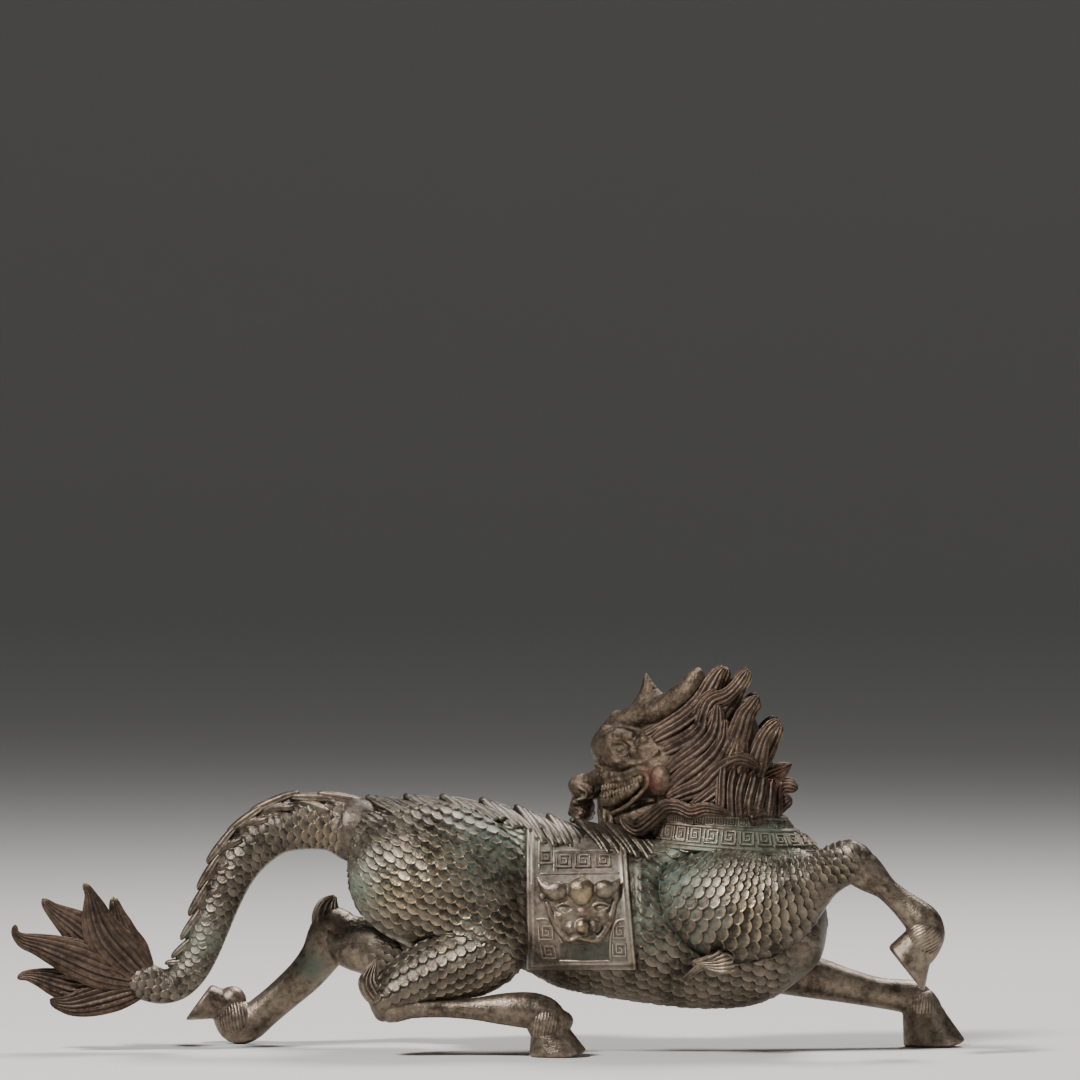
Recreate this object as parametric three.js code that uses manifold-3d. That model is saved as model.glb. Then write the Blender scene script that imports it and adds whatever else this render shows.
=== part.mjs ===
import * as THREE from 'three';
import { mergeVertices } from 'three/addons/utils/BufferGeometryUtils.js';
import Module from 'manifold-3d';

const wasm = await Module();
wasm.setup();

// Length in mm from the tip of the tail tuft to the toe of the front hoof
const LENGTH = 259.2;
const PERCENT = LENGTH / 100;

// The head looks back over the left shoulder, this many degrees off the line of the back
const HEAD_TURN = THREE.MathUtils.degToRad(28);

// Dark brown bronze with a thin green bloom
const BRONZE = { color: '#4d4335', metalness: 0.75, roughness: 0.48 };

// Places are shares of the length, in hundredths: along from the tuft's tip, across (plus is the figure's left)
// and up from the ground. A row is a place with two half sizes, the first across and the second up.
const TORSO = [
  [35.2, 0, 21.6, 2.4, 2.6],
  [36.4, 0, 20.4, 4.6, 4.8],
  [39.0, 0, 19.0, 6.6, 6.4],
  [43.0, 0, 18.0, 7.6, 7.5],
  [48.0, 0, 17.2, 7.6, 8.0],
  [53.0, 0, 16.5, 7.2, 7.7],
  [57.0, 0, 15.0, 7.2, 8.1],
  [61.3, 0, 14.3, 7.4, 8.3],
  [66.5, 0, 13.6, 7.7, 8.4],
  [71.7, 0, 13.3, 7.8, 8.6],
  [76.9, 0, 13.4, 7.3, 8.4],
  [80.5, 0, 13.6, 6.2, 7.1],
  [83.3, 0, 13.4, 4.2, 4.8],
  [84.9, 0, 13.4, 1.6, 1.9],
];
const NECK = [
  [75.4, 0, 17.0, 7.0, 8.4],
  [75.2, 0, 20.4, 7.0, 9.0],
  [74.8, 0, 22.0, 6.7, 8.2],
  [73.8, 0, 24.0, 6.2, 6.9],
  [72.6, 0, 28.0, 5.4, 6.1],
  [72.5, 0, 31.0, 5.0, 5.9],
  [72.8, 0, 34.0, 4.2, 4.9],
  [73.2, 0, 36.4, 2.8, 3.2],
  [73.5, 0, 37.8, 1.2, 1.4],
];
const TAIL = [
  [38.5, 0, 22.4, 3.0, 3.2],
  [34.7, 0, 23.2, 2.6, 2.7],
  [32.6, 0, 23.5, 2.3, 2.5],
  [30.0, 0, 23.4, 2.2, 2.4],
  [27.4, 0, 22.8, 2.1, 2.35],
  [25.0, 0, 21.0, 2.0, 2.25],
  [23.2, 0, 18.7, 1.9, 2.15],
  [21.9, 0, 15.8, 1.8, 1.95],
  [20.9, 0, 13.2, 1.7, 1.85],
  [19.9, 0, 10.6, 1.6, 1.75],
  [18.75, 0, 8.5, 1.55, 1.7],
  [17.3, 0, 7.1, 1.5, 1.7],
  [15.6, 0, 6.7, 1.5, 1.75],
  [13.9, 0, 7.2, 1.6, 1.85],
  [13.2, 0, 7.4, 1.0, 1.2],
];

// Right hind leg, folded under the haunch
const HIND_RIGHT_THIGH = [
  [45.5, -5.2, 17.5, 4.0, 6.2],
  [48.2, -5.8, 14.5, 4.0, 5.0],
  [50.0, -6.2, 12.0, 3.4, 3.9],
  [50.6, -6.4, 10.2, 2.4, 2.6],
];
const HIND_RIGHT_SHIN = [
  [51.6, -6.4, 11.4, 1.8, 2.2],
  [50.0, -6.5, 11.2, 3.0, 3.5],
  [47.7, -6.8, 10.1, 3.3, 3.9],
  [44.0, -7.2, 8.9, 3.0, 3.2],
  [40.9, -7.8, 7.4, 2.4, 2.5],
  [39.3, -8.2, 5.9, 1.9, 1.9],
  [38.8, -8.4, 4.6, 1.2, 1.0],
];
const HIND_RIGHT_CANNON = [
  [38.6, -8.4, 5.3, 1.0, 1.2],
  [39.6, -8.4, 5.2, 1.5, 1.6],
  [41.8, -8.5, 5.0, 1.2, 1.1],
  [44.6, -8.5, 4.9, 1.05, 0.98],
  [47.7, -8.6, 5.0, 1.15, 1.1],
  [50.3, -8.7, 5.1, 1.35, 1.45],
  [53.2, -8.7, 5.0, 1.6, 1.9],
  [55.4, -8.7, 4.6, 1.7, 1.9],
  [57.0, -8.7, 3.6, 1.7, 1.8],
  [58.0, -8.7, 2.4, 1.4, 1.5],
];

// Left hind leg, thrown back with its fetlock on the ground and its sole turned up
const HIND_LEFT_THIGH = [
  [44.0, 4.6, 18.0, 3.6, 6.6],
  [44.5, 5.6, 14.0, 3.6, 5.4],
  [44.3, 6.6, 10.6, 3.2, 4.0],
  [44.0, 7.0, 8.6, 2.0, 2.4],
];
const HIND_LEFT_SHIN = [
  [45.6, 7.0, 9.2, 1.8, 2.2],
  [42.5, 7.6, 9.4, 2.9, 3.3],
  [38.3, 8.6, 10.2, 2.6, 3.0],
  [35.2, 9.4, 10.8, 2.3, 2.7],
  [33.4, 9.9, 11.8, 2.0, 2.2],
  [32.6, 10.1, 13.0, 1.4, 1.4],
];
const HIND_LEFT_CANNON = [
  [33.4, 9.9, 12.8, 1.5, 1.7],
  [33.0, 10.0, 11.2, 2.0, 2.5],
  [31.9, 10.3, 9.3, 1.7, 2.1],
  [30.3, 10.7, 7.3, 1.4, 1.6],
  [28.0, 11.2, 5.2, 1.3, 1.4],
  [26.0, 11.6, 3.5, 1.4, 1.55],
  [24.2, 11.9, 2.1, 1.7, 2.0],
  [22.9, 12.0, 2.1, 1.7, 2.2],
  [22.0, 12.0, 3.7, 1.5, 1.8],
  [21.4, 12.0, 5.0, 0.8, 0.9],
];

// Right foreleg, lifted, with the hoof turned under
const FORE_RIGHT_ARM = [
  [68.0, -4.4, 17.2, 2.0, 2.2],
  [70.0, -5.0, 16.2, 3.4, 4.2],
  [72.8, -5.4, 15.4, 4.0, 5.2],
  [75.8, -5.6, 15.0, 4.1, 5.1],
  [78.6, -5.9, 15.3, 3.7, 4.7],
  [81.0, -6.5, 16.5, 3.1, 3.8],
  [83.6, -7.2, 18.2, 2.5, 2.5],
  [85.7, -7.7, 19.6, 2.1, 2.25],
  [87.3, -8.0, 20.2, 1.9, 2.1],
  [88.3, -8.1, 20.0, 1.3, 1.5],
];
const FORE_RIGHT_CANNON = [
  [86.4, -8.0, 20.9, 1.0, 1.2],
  [87.5, -8.0, 20.2, 1.8, 2.2],
  [89.0, -8.1, 18.9, 1.5, 1.7],
  [90.6, -8.3, 17.5, 1.2, 1.25],
  [92.1, -8.5, 16.2, 1.2, 1.3],
  [93.5, -8.7, 15.0, 1.4, 1.6],
  [94.8, -8.9, 13.6, 1.8, 2.0],
  [95.2, -9.0, 12.4, 1.8, 2.1],
  [94.7, -9.0, 11.2, 1.4, 1.7],
];

// Left foreleg, stretched forward along the ground
const FORE_LEFT_ARM = [
  [72.0, 4.6, 16.5, 3.4, 4.8],
  [75.0, 5.0, 13.0, 3.4, 4.6],
  [78.5, 5.6, 9.6, 2.8, 3.2],
  [81.5, 6.0, 7.8, 2.0, 2.2],
  [84.2, 6.4, 7.3, 1.6, 1.85],
  [87.3, 6.8, 6.6, 1.3, 1.35],
  [90.4, 7.2, 5.9, 1.2, 1.2],
  [92.6, 7.4, 5.3, 1.4, 1.6],
  [94.6, 7.5, 4.9, 1.7, 1.9],
  [96.0, 7.5, 3.6, 1.5, 1.6],
];

// Small tufts of hair: behind each hock and at the right elbow
const HAIR_TUFTS = [
  [
    [38.4, -8.8, 5.2, 0.7, 0.8],
    [37.6, -8.8, 6.7, 0.9, 1.15],
    [37.5, -8.8, 8.1, 0.8, 1.05],
    [37.8, -8.8, 9.3, 0.5, 0.6],
    [37.9, -8.8, 10.0, 0.15, 0.15],
  ],
  [
    [32.9, 9.9, 12.2, 1.3, 1.6],
    [32.7, 9.9, 13.6, 1.2, 1.5],
    [32.9, 9.9, 14.8, 0.8, 1.05],
    [33.5, 9.9, 15.7, 0.25, 0.3],
  ],
  [
    [70.4, -6.6, 10.6, 0.3, 0.4],
    [71.8, -7.2, 10.2, 0.7, 0.8],
    [73.2, -7.6, 9.8, 0.9, 1.0],
    [74.4, -7.4, 9.4, 0.4, 0.4],
  ],
];

// A hoof: the middle of its sole, the way its toe points and the way its wall rises (along, up), its half length,
// half width and height, and how far its top lies back of the sole's middle
const HOOVES = {
  hindRight: {
    sole: [57.0, -8.7, 0], toe: [1, 0], rise: [0, 1],
    half: 3.25, wide: 2.4, high: 3.4, back: 0.4,
  },
  hindLeft: {
    sole: [19.0, 12, 4.4], toe: [-0.59, -0.81], rise: [0.81, -0.59],
    half: 2.4, wide: 2.1, high: 3.0, back: 1.5,
  },
  foreRight: {
    sole: [92.8, -9, 9.0], toe: [0.62, -0.78], rise: [0.78, 0.62],
    half: 3.0, wide: 2.2, high: 3.3, back: 1.5,
  },
  foreLeft: {
    sole: [96.5, 7.5, 0], toe: [1, 0], rise: [0, 1],
    half: 3.4, wide: 2.5, high: 4.3, back: 1.5,
  },
};

// Plain swellings: a place with its half sizes along, across and up
const HAUNCHES = [
  [44.3, -5.4, 18.6, 8.9, 4.8, 7.3],
  [43.4, 5.2, 18.2, 8.4, 4.6, 7.2],
];
// The turned-up pastern of the left hind leg
const PASTERN = [22.6, 12, 4.6, 1.5, 1.4, 1.5];

// Tongues of the tail tuft fan out from its root to these tips, by way of a bend
const TUFT_ROOT = [14.0, 0, 7.4];
const TUFT = [
  { bend: [12.6, 0.9, 12.4], tip: [10.5, 1.6, 16.2], wide: 1.7 },
  { bend: [9.9, -0.5, 12.2], tip: [7.5, -1.2, 17.5], wide: 1.8 },
  { bend: [7.8, 0.5, 10.8], tip: [3.1, 0.9, 15.9], wide: 1.75 },
  { bend: [6.9, -0.4, 8.6], tip: [0.1, -1.0, 13.0], wide: 1.7 },
  { bend: [6.8, 0.4, 7.0], tip: [0.6, 0.6, 7.6], wide: 1.5 },
  { bend: [9.6, -0.2, 4.4], tip: [3.9, -0.4, 5.4], wide: 1.35 },
];

// Crest flames point down the tail and toward it: root, tip, half height
const CREST = [
  [[59.5, 0, 22.6], [56.4, 0, 23.2], 0.9],
  [[57.6, 0, 22.6], [52.0, 0, 24.8], 1.0],
  [[53.6, 0, 23.6], [48.6, 0, 25.9], 1.0],
  [[50.0, 0, 24.6], [44.6, 0, 26.6], 1.0],
  [[46.6, 0, 25.2], [41.2, 0, 26.3], 1.0],
  [[43.2, 0, 25.2], [38.0, 0, 26.0], 0.9],
  [[39.6, 0, 25.2], [36.2, 0, 25.7], 0.7],
  [[35.6, 0, 25.6], [29.6, 0, 26.6], 0.9],
  [[31.2, 0, 25.6], [26.4, 0, 25.5], 0.9],
  [[27.6, 0, 24.8], [22.6, 0, 23.3], 1.15],
  [[24.6, 0, 23.0], [20.0, 0, 19.7], 1.3],
  [[22.4, 0, 20.4], [18.4, 0, 15.8], 1.35],
  [[20.8, 0, 17.0], [17.5, 0, 13.5], 1.2],
  [[19.8, 0, 13.8], [16.5, 0, 10.8], 1.05],
  [[19.0, 0, 11.2], [15.1, 0, 9.5], 0.95],
];

// Mane locks on the right side of the neck: root, bend, tip, half width. The left side has the same, plainer.
const MANE = [
  [[67.0, -3.4, 33.2], [71.6, -3.6, 35.0], [74.2, -1.9, 40.2], 1.45],
  [[67.6, -4.2, 31.8], [71.6, -5.0, 33.4], [73.0, -4.2, 37.0], 1.2],
  [[68.0, -4.4, 30.8], [74.6, -4.4, 33.2], [76.7, -2.3, 39.9], 1.45],
  [[69.2, -4.9, 29.8], [73.6, -5.5, 31.6], [75.3, -5.0, 34.7], 1.2],
  [[69.8, -4.8, 29.6], [76.4, -4.6, 31.6], [78.0, -2.2, 36.9], 1.5],
  [[70.6, -5.0, 28.8], [78.2, -4.2, 30.0], [79.8, -2.0, 34.6], 1.5],
  [[69.2, -5.0, 27.4], [74.6, -5.8, 28.0], [78.8, -3.8, 31.0], 1.2],
  [[71.0, -5.4, 26.4], [76.8, -5.2, 27.6], [80.5, -2.8, 29.7], 1.25],
  [[73.0, -5.6, 25.2], [78.2, -4.6, 25.6], [81.7, -2.4, 27.6], 1.2],
];
const MANE_MIDDLE = [
  [[70.5, 0, 35.6], [72.4, 0, 37.4], [73.2, 0, 40.0], 1.2],
  [[73.0, 0, 34.0], [76.4, 0, 35.6], [78.2, 0, 38.0], 1.3],
  [[74.0, 0, 31.0], [78.4, 0, 31.4], [80.0, 0, 34.4], 1.5],
  [[74.0, 0, 28.0], [79.0, 0, 28.4], [81.6, 0, 30.6], 1.2],
];

// A wavy side lock trails from the jaw along the neck: a place with its half depth and half width
const SIDE_LOCK = [
  [62.6, -0.6, 23.6, 0.5, 0.6],
  [64.0, -1.8, 23.4, 1.0, 1.3],
  [65.6, -3.2, 23.4, 1.2, 1.5],
  [67.4, -4.8, 24.9, 1.2, 1.45],
  [69.2, -6.0, 25.3, 1.1, 1.4],
  [71.0, -6.6, 24.6, 1.1, 1.3],
  [72.8, -6.9, 25.2, 1.0, 1.15],
  [74.2, -7.0, 25.0, 0.8, 0.8],
  [75.0, -7.0, 24.5, 0.3, 0.3],
];

// The head has its own directions: forward to the nose, left and up, from a place inside the cheeks
const HEAD = [67.0, 0.6, 29.4];
const SKULL = [
  [-4.6, 0, 0.2, 1.6, 1.8],
  [-3.2, 0, 0.6, 3.4, 4.0],
  [-0.8, 0, 1.0, 4.0, 4.7],
  [1.8, 0, 1.2, 3.9, 4.4],
  [4.0, 0, 1.0, 3.2, 3.6],
  [5.6, 0, 0.4, 2.2, 2.6],
  [6.4, 0, 0.0, 1.2, 1.4],
];
const MUZZLE = [
  [2.0, 0, -0.2, 3.0, 2.6],
  [5.0, 0, -1.2, 2.6, 2.2],
  [6.8, 0, -2.4, 2.2, 1.9],
  [8.2, 0, -3.1, 2.4, 2.3],
  [9.4, 0, -3.5, 2.0, 1.9],
  [10.2, 0, -3.7, 0.8, 0.8],
];
// Teeth and tongue between the open jaws
const BITE = [
  [-1.0, 0, -3.0, 2.2, 1.8],
  [4.0, 0, -3.6, 2.1, 2.2],
  [7.8, 0, -5.0, 1.4, 0.7],
];
const JAW = [
  [-1.6, 0, -4.0, 2.6, 2.4],
  [1.0, 0, -4.9, 2.7, 2.0],
  [3.4, 0, -5.4, 2.4, 1.5],
  [5.4, 0, -5.4, 2.0, 1.1],
  [6.4, 0, -5.0, 1.0, 0.6],
];
const HORN = [
  [6.2, 0, 2.6, 1.0, 0.9],
  [4.8, 0, 3.9, 1.4, 1.2],
  [2.6, 0, 5.2, 1.3, 1.3],
  [0.2, 0, 6.2, 1.25, 1.35],
  [-1.6, 0, 6.9, 1.15, 1.2],
  [-3.3, 0, 8.1, 1.05, 1.15],
  [-4.3, 0, 9.5, 0.95, 1.05],
  [-4.7, 0, 10.6, 0.55, 0.65],
];
const HORN_PRONG = [
  [0.2, 0, 5.9, 0.9, 1.3],
  [0.5, 0, 7.4, 0.75, 1.0],
  [0.9, 0, 8.8, 0.5, 0.6],
  [1.2, 0, 9.8, 0.12, 0.2],
];
// Swellings of the face: forward, left, up, then their half sizes the same way
const FACE = {
  brow: [3.2, 2.3, 1.8, 2.7, 1.8, 1.9],
  cheek: [-1.9, 3.3, -1.2, 1.5, 1.2, 2.1],
};
const MOUTH = [3.4, 3.2, -1.9, 2.5, 1.6, 1.5];
const EYE = [3.5, 4.1, 1.9, 0.85, 0.8, 0.6];

// Saddle cloth: its ends along the back, its lower edge, its thickness and the width of its raised border
const CLOTH = { from: 53.7, to: 64.6, low: 9.0, thick: 0.3, border: 0.75, borderThick: 0.28 };
// Beast mask on each flank: its middle, then swellings as offsets along and up with half sizes along, out and up
const MASK = { along: 59.5, up: 14.9, out: 7.2 };
const MASK_FORMS = [
  [0, -0.5, 2.9, 0.9, 3.0],
  [-2.3, 1.9, 1.35, 1.1, 1.2],
  [0, 2.0, 1.3, 1.5, 1.25],
  [2.3, 1.9, 1.25, 1.1, 1.1],
  [0, -0.2, 0.75, 1.7, 1.5],
  [0, -1.8, 2.4, 1.6, 1.0],
  [0, -3.0, 1.7, 1.2, 0.6],
  [-4.0, 2.6, 1.1, 0.6, 0.7],
  [3.9, 2.6, 1.1, 0.6, 0.7],
];
// The mask on the left flank has only this many of those swellings
const MASK_PLAINER = 3;
// Collar band around the foot of the neck: its lower and upper edges, its thickness and the lip along its lower edge
const COLLAR = { low: 20.3, high: 22.6, thick: 0.3, ridge: 0.5, lipThick: 0.54 };

// A lock is this much thinner than it is wide, never slimmer than a share of its width, with flutes between strands
const LOCK = { thick: 0.55, crestThick: 0.7, middleThick: 0.8, tip: 0.16, root: 0.75, flute: 0.2 };
// A hoof's wall draws in toward the top by these shares of its half sizes
const HOOF_DRAW = { across: 0.32, along: 0.42 };
// How far blocks reach past the figure where they cut it
const PAST = { tail: -20, across: 40, front: 120, up: 60 };
// The thinnest a form may be at its very tip
const THINNEST = 0.08;
// Locks on the left side are fewer and wider by this much
const PLAINER_WIDE = 1.4;

const BODY_SIDES = 14;
const NECK_SIDES = 12;
const LEG_SIDES = 8;
const HOOF_SIDES = 10;
const LOCK_SIDES = 6;
const LOCK_STATIONS = 4;

// A place in hundredths becomes millimetres
function place(along, across, up) {
  return new THREE.Vector3(along, across, up).multiplyScalar(PERCENT);
}

// A place in the head's own directions becomes millimetres
function headPlace(forward, left, up) {
  const c = Math.cos(HEAD_TURN);
  const s = Math.sin(HEAD_TURN);
  return place(
    HEAD[0] - c * forward - s * left,
    HEAD[1] + s * forward - c * left,
    HEAD[2] + up,
  );
}

const ALONG = new THREE.Vector3(1, 0, 0);
const ACROSS = new THREE.Vector3(0, 1, 0);
const UP = new THREE.Vector3(0, 0, 1);
const HEAD_LEFT = headPlace(0, 1, 0).sub(headPlace(0, 0, 0)).normalize();

// Rows are joined by a smooth curve, with a given number of steps between neighbours
function smooth(rows, steps) {
  const out = [];
  for (let i = 0; i < rows.length - 1; i += 1) {
    const p = [rows[Math.max(i - 1, 0)], rows[i], rows[i + 1], rows[Math.min(i + 2, rows.length - 1)]];
    for (let k = 0; k < steps; k += 1) {
      const t = k / steps;
      out.push(rows[i].map((_, c) => {
        const [a, b, d, e] = p.map((row) => row[c]);
        const slope = (d - a) / 2;
        const next = (e - b) / 2;
        return ((2 * b - 2 * d + slope + next) * t + (3 * d - 3 * b - 2 * slope - next)) * t * t + slope * t + b;
      }));
    }
  }
  out.push([...rows[rows.length - 1]]);
  return out;
}

// Turns a closed three.js geometry into a solid that can be joined and cut
function toSolid(geometry) {
  geometry.deleteAttribute('normal');
  geometry.deleteAttribute('uv');
  const merged = mergeVertices(geometry, 1e-4);
  return new wasm.Manifold(new wasm.Mesh({
    numProp: 3,
    vertProperties: new Float32Array(merged.attributes.position.array),
    triVerts: new Uint32Array(merged.index.array),
  }));
}

// A closed form with oval sections along its rows. Flutes pull every other corner in, for strands of hair.
// Sections stand square to the rows' path, or face a fixed way where one is given.
function loft(rows, { sides = LEG_SIDES, steps = 1, at = place, across = ACROSS, flute = 0, facing = null } = {}) {
  const table = smooth(rows, steps);
  const middles = table.map((row) => at(row[0], row[1], row[2]));
  const points = [];
  const index = [];
  middles.forEach((middle, i) => {
    const before = middles[Math.max(i - 1, 0)];
    const after = middles[Math.min(i + 1, middles.length - 1)];
    const ahead = facing ? facing.clone() : after.clone().sub(before).normalize();
    const side = across.clone().addScaledVector(ahead, -across.dot(ahead)).normalize();
    const over = ahead.clone().cross(side);
    for (let j = 0; j < sides; j += 1) {
      const angle = (j / sides) * 2 * Math.PI;
      const pull = j % 2 ? 1 - flute : 1;
      const spot = middle.clone()
        .addScaledVector(side, Math.cos(angle) * Math.max(table[i][3], THINNEST) * PERCENT * pull)
        .addScaledVector(over, Math.sin(angle) * Math.max(table[i][4], THINNEST) * PERCENT * pull);
      points.push(spot.x, spot.y, spot.z);
    }
  });
  const last = middles.length - 1;
  for (let i = 0; i < last; i += 1) {
    for (let j = 0; j < sides; j += 1) {
      const k = (j + 1) % sides;
      const [a, b, c, d] = [i * sides + j, i * sides + k, (i + 1) * sides + k, (i + 1) * sides + j];
      index.push(a, b, c, a, c, d);
    }
  }
  const foot = points.length / 3;
  points.push(...middles[0].toArray(), ...middles[last].toArray());
  for (let j = 0; j < sides; j += 1) {
    const k = (j + 1) % sides;
    index.push(foot, k, j, foot + 1, last * sides + j, last * sides + k);
  }
  const geometry = new THREE.BufferGeometry();
  geometry.setAttribute('position', new THREE.Float32BufferAttribute(points, 3));
  geometry.setIndex(index);
  return toSolid(geometry);
}

// An egg-shaped swelling. Its half sizes run along, across and up, turned about the upright by a given angle.
function swelling([along, across, up, a, b, c], { at = place, turn = 0, sides = 12, rings = 8 } = {}) {
  const geometry = new THREE.SphereGeometry(PERCENT, sides, rings);
  geometry.rotateX(Math.PI / 2);
  geometry.scale(a, b, c);
  geometry.rotateZ(turn);
  const middle = at(along, across, up);
  geometry.translate(middle.x, middle.y, middle.z);
  return toSolid(geometry);
}

function block(fromPlace, toPlace) {
  const a = place(...fromPlace);
  const b = place(...toPlace);
  const geometry = new THREE.BoxGeometry(b.x - a.x, b.y - a.y, b.z - a.z);
  geometry.translate((a.x + b.x) / 2, (a.y + b.y) / 2, (a.z + b.z) / 2);
  return toSolid(geometry);
}

// A pointed lock from its root by way of a bend to its tip
function lock(root, bend, tip, wide, { thick = LOCK.thick, sides = LOCK_SIDES, stations = LOCK_STATIONS } = {}) {
  const rows = [];
  for (let i = 0; i <= stations; i += 1) {
    const t = i / stations;
    const blend = (c) => (1 - t) ** 2 * root[c] + 2 * t * (1 - t) * bend[c] + t * t * tip[c];
    const belly = LOCK.root + (1 - LOCK.root) * Math.sin(Math.PI * t);
    const taper = Math.max(LOCK.tip, Math.sqrt(1 - t ** 3)) * belly;
    rows.push([blend(0), blend(1), blend(2), wide * thick * taper, wide * taper]);
  }
  return loft(rows, { sides, flute: LOCK.flute });
}

function mirrored(spot) {
  return [spot[0], -spot[1], spot[2]];
}

// Sections parallel to the sole shrink and lean back toward the fetlock
function hoof({ sole, toe, rise, half, wide, high, back }) {
  const rows = [];
  const stations = 2;
  for (let i = 0; i <= stations; i += 1) {
    const t = i / stations;
    const up = high * t;
    const lean = -back * t;
    rows.push([
      sole[0] + rise[0] * up + toe[0] * lean,
      sole[1],
      sole[2] + rise[1] * up + toe[1] * lean,
      wide * (1 - HOOF_DRAW.across * t),
      half * (1 - HOOF_DRAW.along * t),
    ]);
  }
  const sides = HOOF_SIDES;
  const points = [];
  const index = [];
  for (const [along, across, up, b, a] of rows) {
    for (let j = 0; j < sides; j += 1) {
      const angle = (j / sides) * 2 * Math.PI;
      const reach = Math.cos(angle) * a;
      points.push(...place(along + toe[0] * reach, across + Math.sin(angle) * b, up + toe[1] * reach).toArray());
    }
  }
  for (let i = 0; i < stations; i += 1) {
    for (let j = 0; j < sides; j += 1) {
      const k = (j + 1) % sides;
      const [a, b, c, d] = [i * sides + j, i * sides + k, (i + 1) * sides + k, (i + 1) * sides + j];
      index.push(a, b, c, a, c, d);
    }
  }
  for (let j = 1; j < sides - 1; j += 1) {
    index.push(0, j + 1, j, stations * sides, stations * sides + j, stations * sides + j + 1);
  }
  const turnsOut = toe[0] * rise[1] - toe[1] * rise[0] > 0;
  if (!turnsOut) {
    for (let i = 0; i < index.length; i += 3) {
      [index[i + 1], index[i + 2]] = [index[i + 2], index[i + 1]];
    }
  }
  const geometry = new THREE.BufferGeometry();
  geometry.setAttribute('position', new THREE.Float32BufferAttribute(points, 3));
  geometry.setIndex(index);
  return toSolid(geometry);
}

function join(solids) {
  return solids.reduce((sum, solid) => sum.add(solid));
}

// Rows grown outward by the same amount, for cloth and bands that lie on the body
function grown(rows, by) {
  return rows.map(([a, b, c, d, e]) => [a, b, c, d + by, e + by]);
}

function torso(by) {
  return loft(grown(TORSO, by), { sides: BODY_SIDES, facing: ALONG });
}

function neck(by) {
  return loft(grown(NECK, by), { sides: NECK_SIDES, facing: UP });
}

function body() {
  return join([
    torso(0),
    neck(0),
    ...HAUNCHES.map((row) => swelling(row, { sides: 12, rings: 7 })),
  ]);
}

function legs() {
  const tables = [
    HIND_RIGHT_THIGH, HIND_RIGHT_SHIN, HIND_RIGHT_CANNON,
    HIND_LEFT_THIGH, HIND_LEFT_SHIN, HIND_LEFT_CANNON,
    FORE_RIGHT_ARM, FORE_RIGHT_CANNON, FORE_LEFT_ARM,
  ];
  const tufts = HAIR_TUFTS.map((rows) => loft(rows, { sides: 5 }));
  return join([
    ...tables.map((rows) => loft(rows)),
    ...tufts,
    swelling(PASTERN, { sides: 8, rings: 4 }),
    ...Object.values(HOOVES).map(hoof),
  ]);
}

function tail() {
  const tongues = TUFT.map(({ bend, tip, wide }) => lock(TUFT_ROOT, bend, tip, wide, { sides: 6, stations: 5 }));
  return join([loft(TAIL), ...tongues]);
}

function crest() {
  return join(CREST.map(([root, tip, high]) => {
    const higher = Math.max(root[2], tip[2]);
    const middle = (root[2] + tip[2]) / 2;
    const bend = [(root[0] + tip[0]) / 2, 0, middle + (higher - middle) * 0.6];
    return lock(root, bend, tip, high, { thick: LOCK.crestThick, sides: 4, stations: 2 });
  }));
}

function mane() {
  const right = MANE.map(([root, bend, tip, wide]) => lock(root, bend, tip, wide));
  const left = MANE.filter((_, i) => i % 2 === 0).map(([root, bend, tip, wide]) => (
    lock(mirrored(root), mirrored(bend), mirrored(tip), wide * PLAINER_WIDE, { sides: 5, stations: 3 })));
  const middle = MANE_MIDDLE.map(([root, bend, tip, wide]) => (
    lock(root, bend, tip, wide, { thick: LOCK.middleThick, sides: 5 })));
  return join([...right, ...left, ...middle]);
}

// The left one mirrors the right one about the middle of the head
function sideLocks() {
  const left = SIDE_LOCK.map(([along, across, ...rest]) => [along, 2 * HEAD[1] - across, ...rest]);
  return join([
    loft(SIDE_LOCK, { sides: 8, flute: LOCK.flute }),
    loft(left, { sides: 6, flute: LOCK.flute }),
  ]);
}

function head() {
  const onHead = { at: headPlace, across: HEAD_LEFT };
  const turn = -HEAD_TURN;
  const pairs = Object.values(FACE).flatMap((row) => [row, [row[0], -row[1], ...row.slice(2)]]);
  const forms = join([
    loft(SKULL, onHead),
    ...[MUZZLE, JAW, BITE, HORN].map((rows) => loft(rows, onHead)),
    loft(HORN_PRONG, { ...onHead, sides: 6 }),
    ...pairs.map((row) => swelling(row, { at: headPlace, turn, sides: 6, rings: 4 })),
  ]);
  const hollows = [MOUTH, EYE].flatMap((row) => [row, [row[0], -row[1], ...row.slice(2)]]);
  return hollows.reduce((sum, row) => (
    sum.subtract(swelling(row, { at: headPlace, turn, sides: 6, rings: 4 }))), forms);
}

function saddleCloth() {
  const { from, to, low, thick, border, borderThick } = CLOTH;
  const field = block([from, -PAST.across, low], [to, PAST.across, PAST.up]);
  const inside = block([from + border, -PAST.across, low + border], [to - border, PAST.across, PAST.up]);
  const cloth = torso(thick).intersect(field);
  const rim = torso(thick + borderThick).intersect(field).subtract(inside);
  return cloth.add(rim);
}

function masks() {
  const forms = [];
  for (const side of [-1, 1]) {
    const shown = side < 0 ? MASK_FORMS : MASK_FORMS.slice(0, MASK_PLAINER);
    for (const [along, up, a, out, c] of shown) {
      forms.push(swelling([MASK.along + along, side * MASK.out, MASK.up + up, a, out, c], { sides: 6, rings: 4 }));
    }
  }
  return join(forms);
}

function collar() {
  const { low, high, thick, ridge, lipThick } = COLLAR;
  const around = (from, to) => block([PAST.tail, -PAST.across, from], [PAST.front, PAST.across, to]);
  const band = neck(thick).intersect(around(low, high));
  const lip = neck(lipThick).intersect(around(low, low + ridge));
  return band.add(lip);
}

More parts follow.
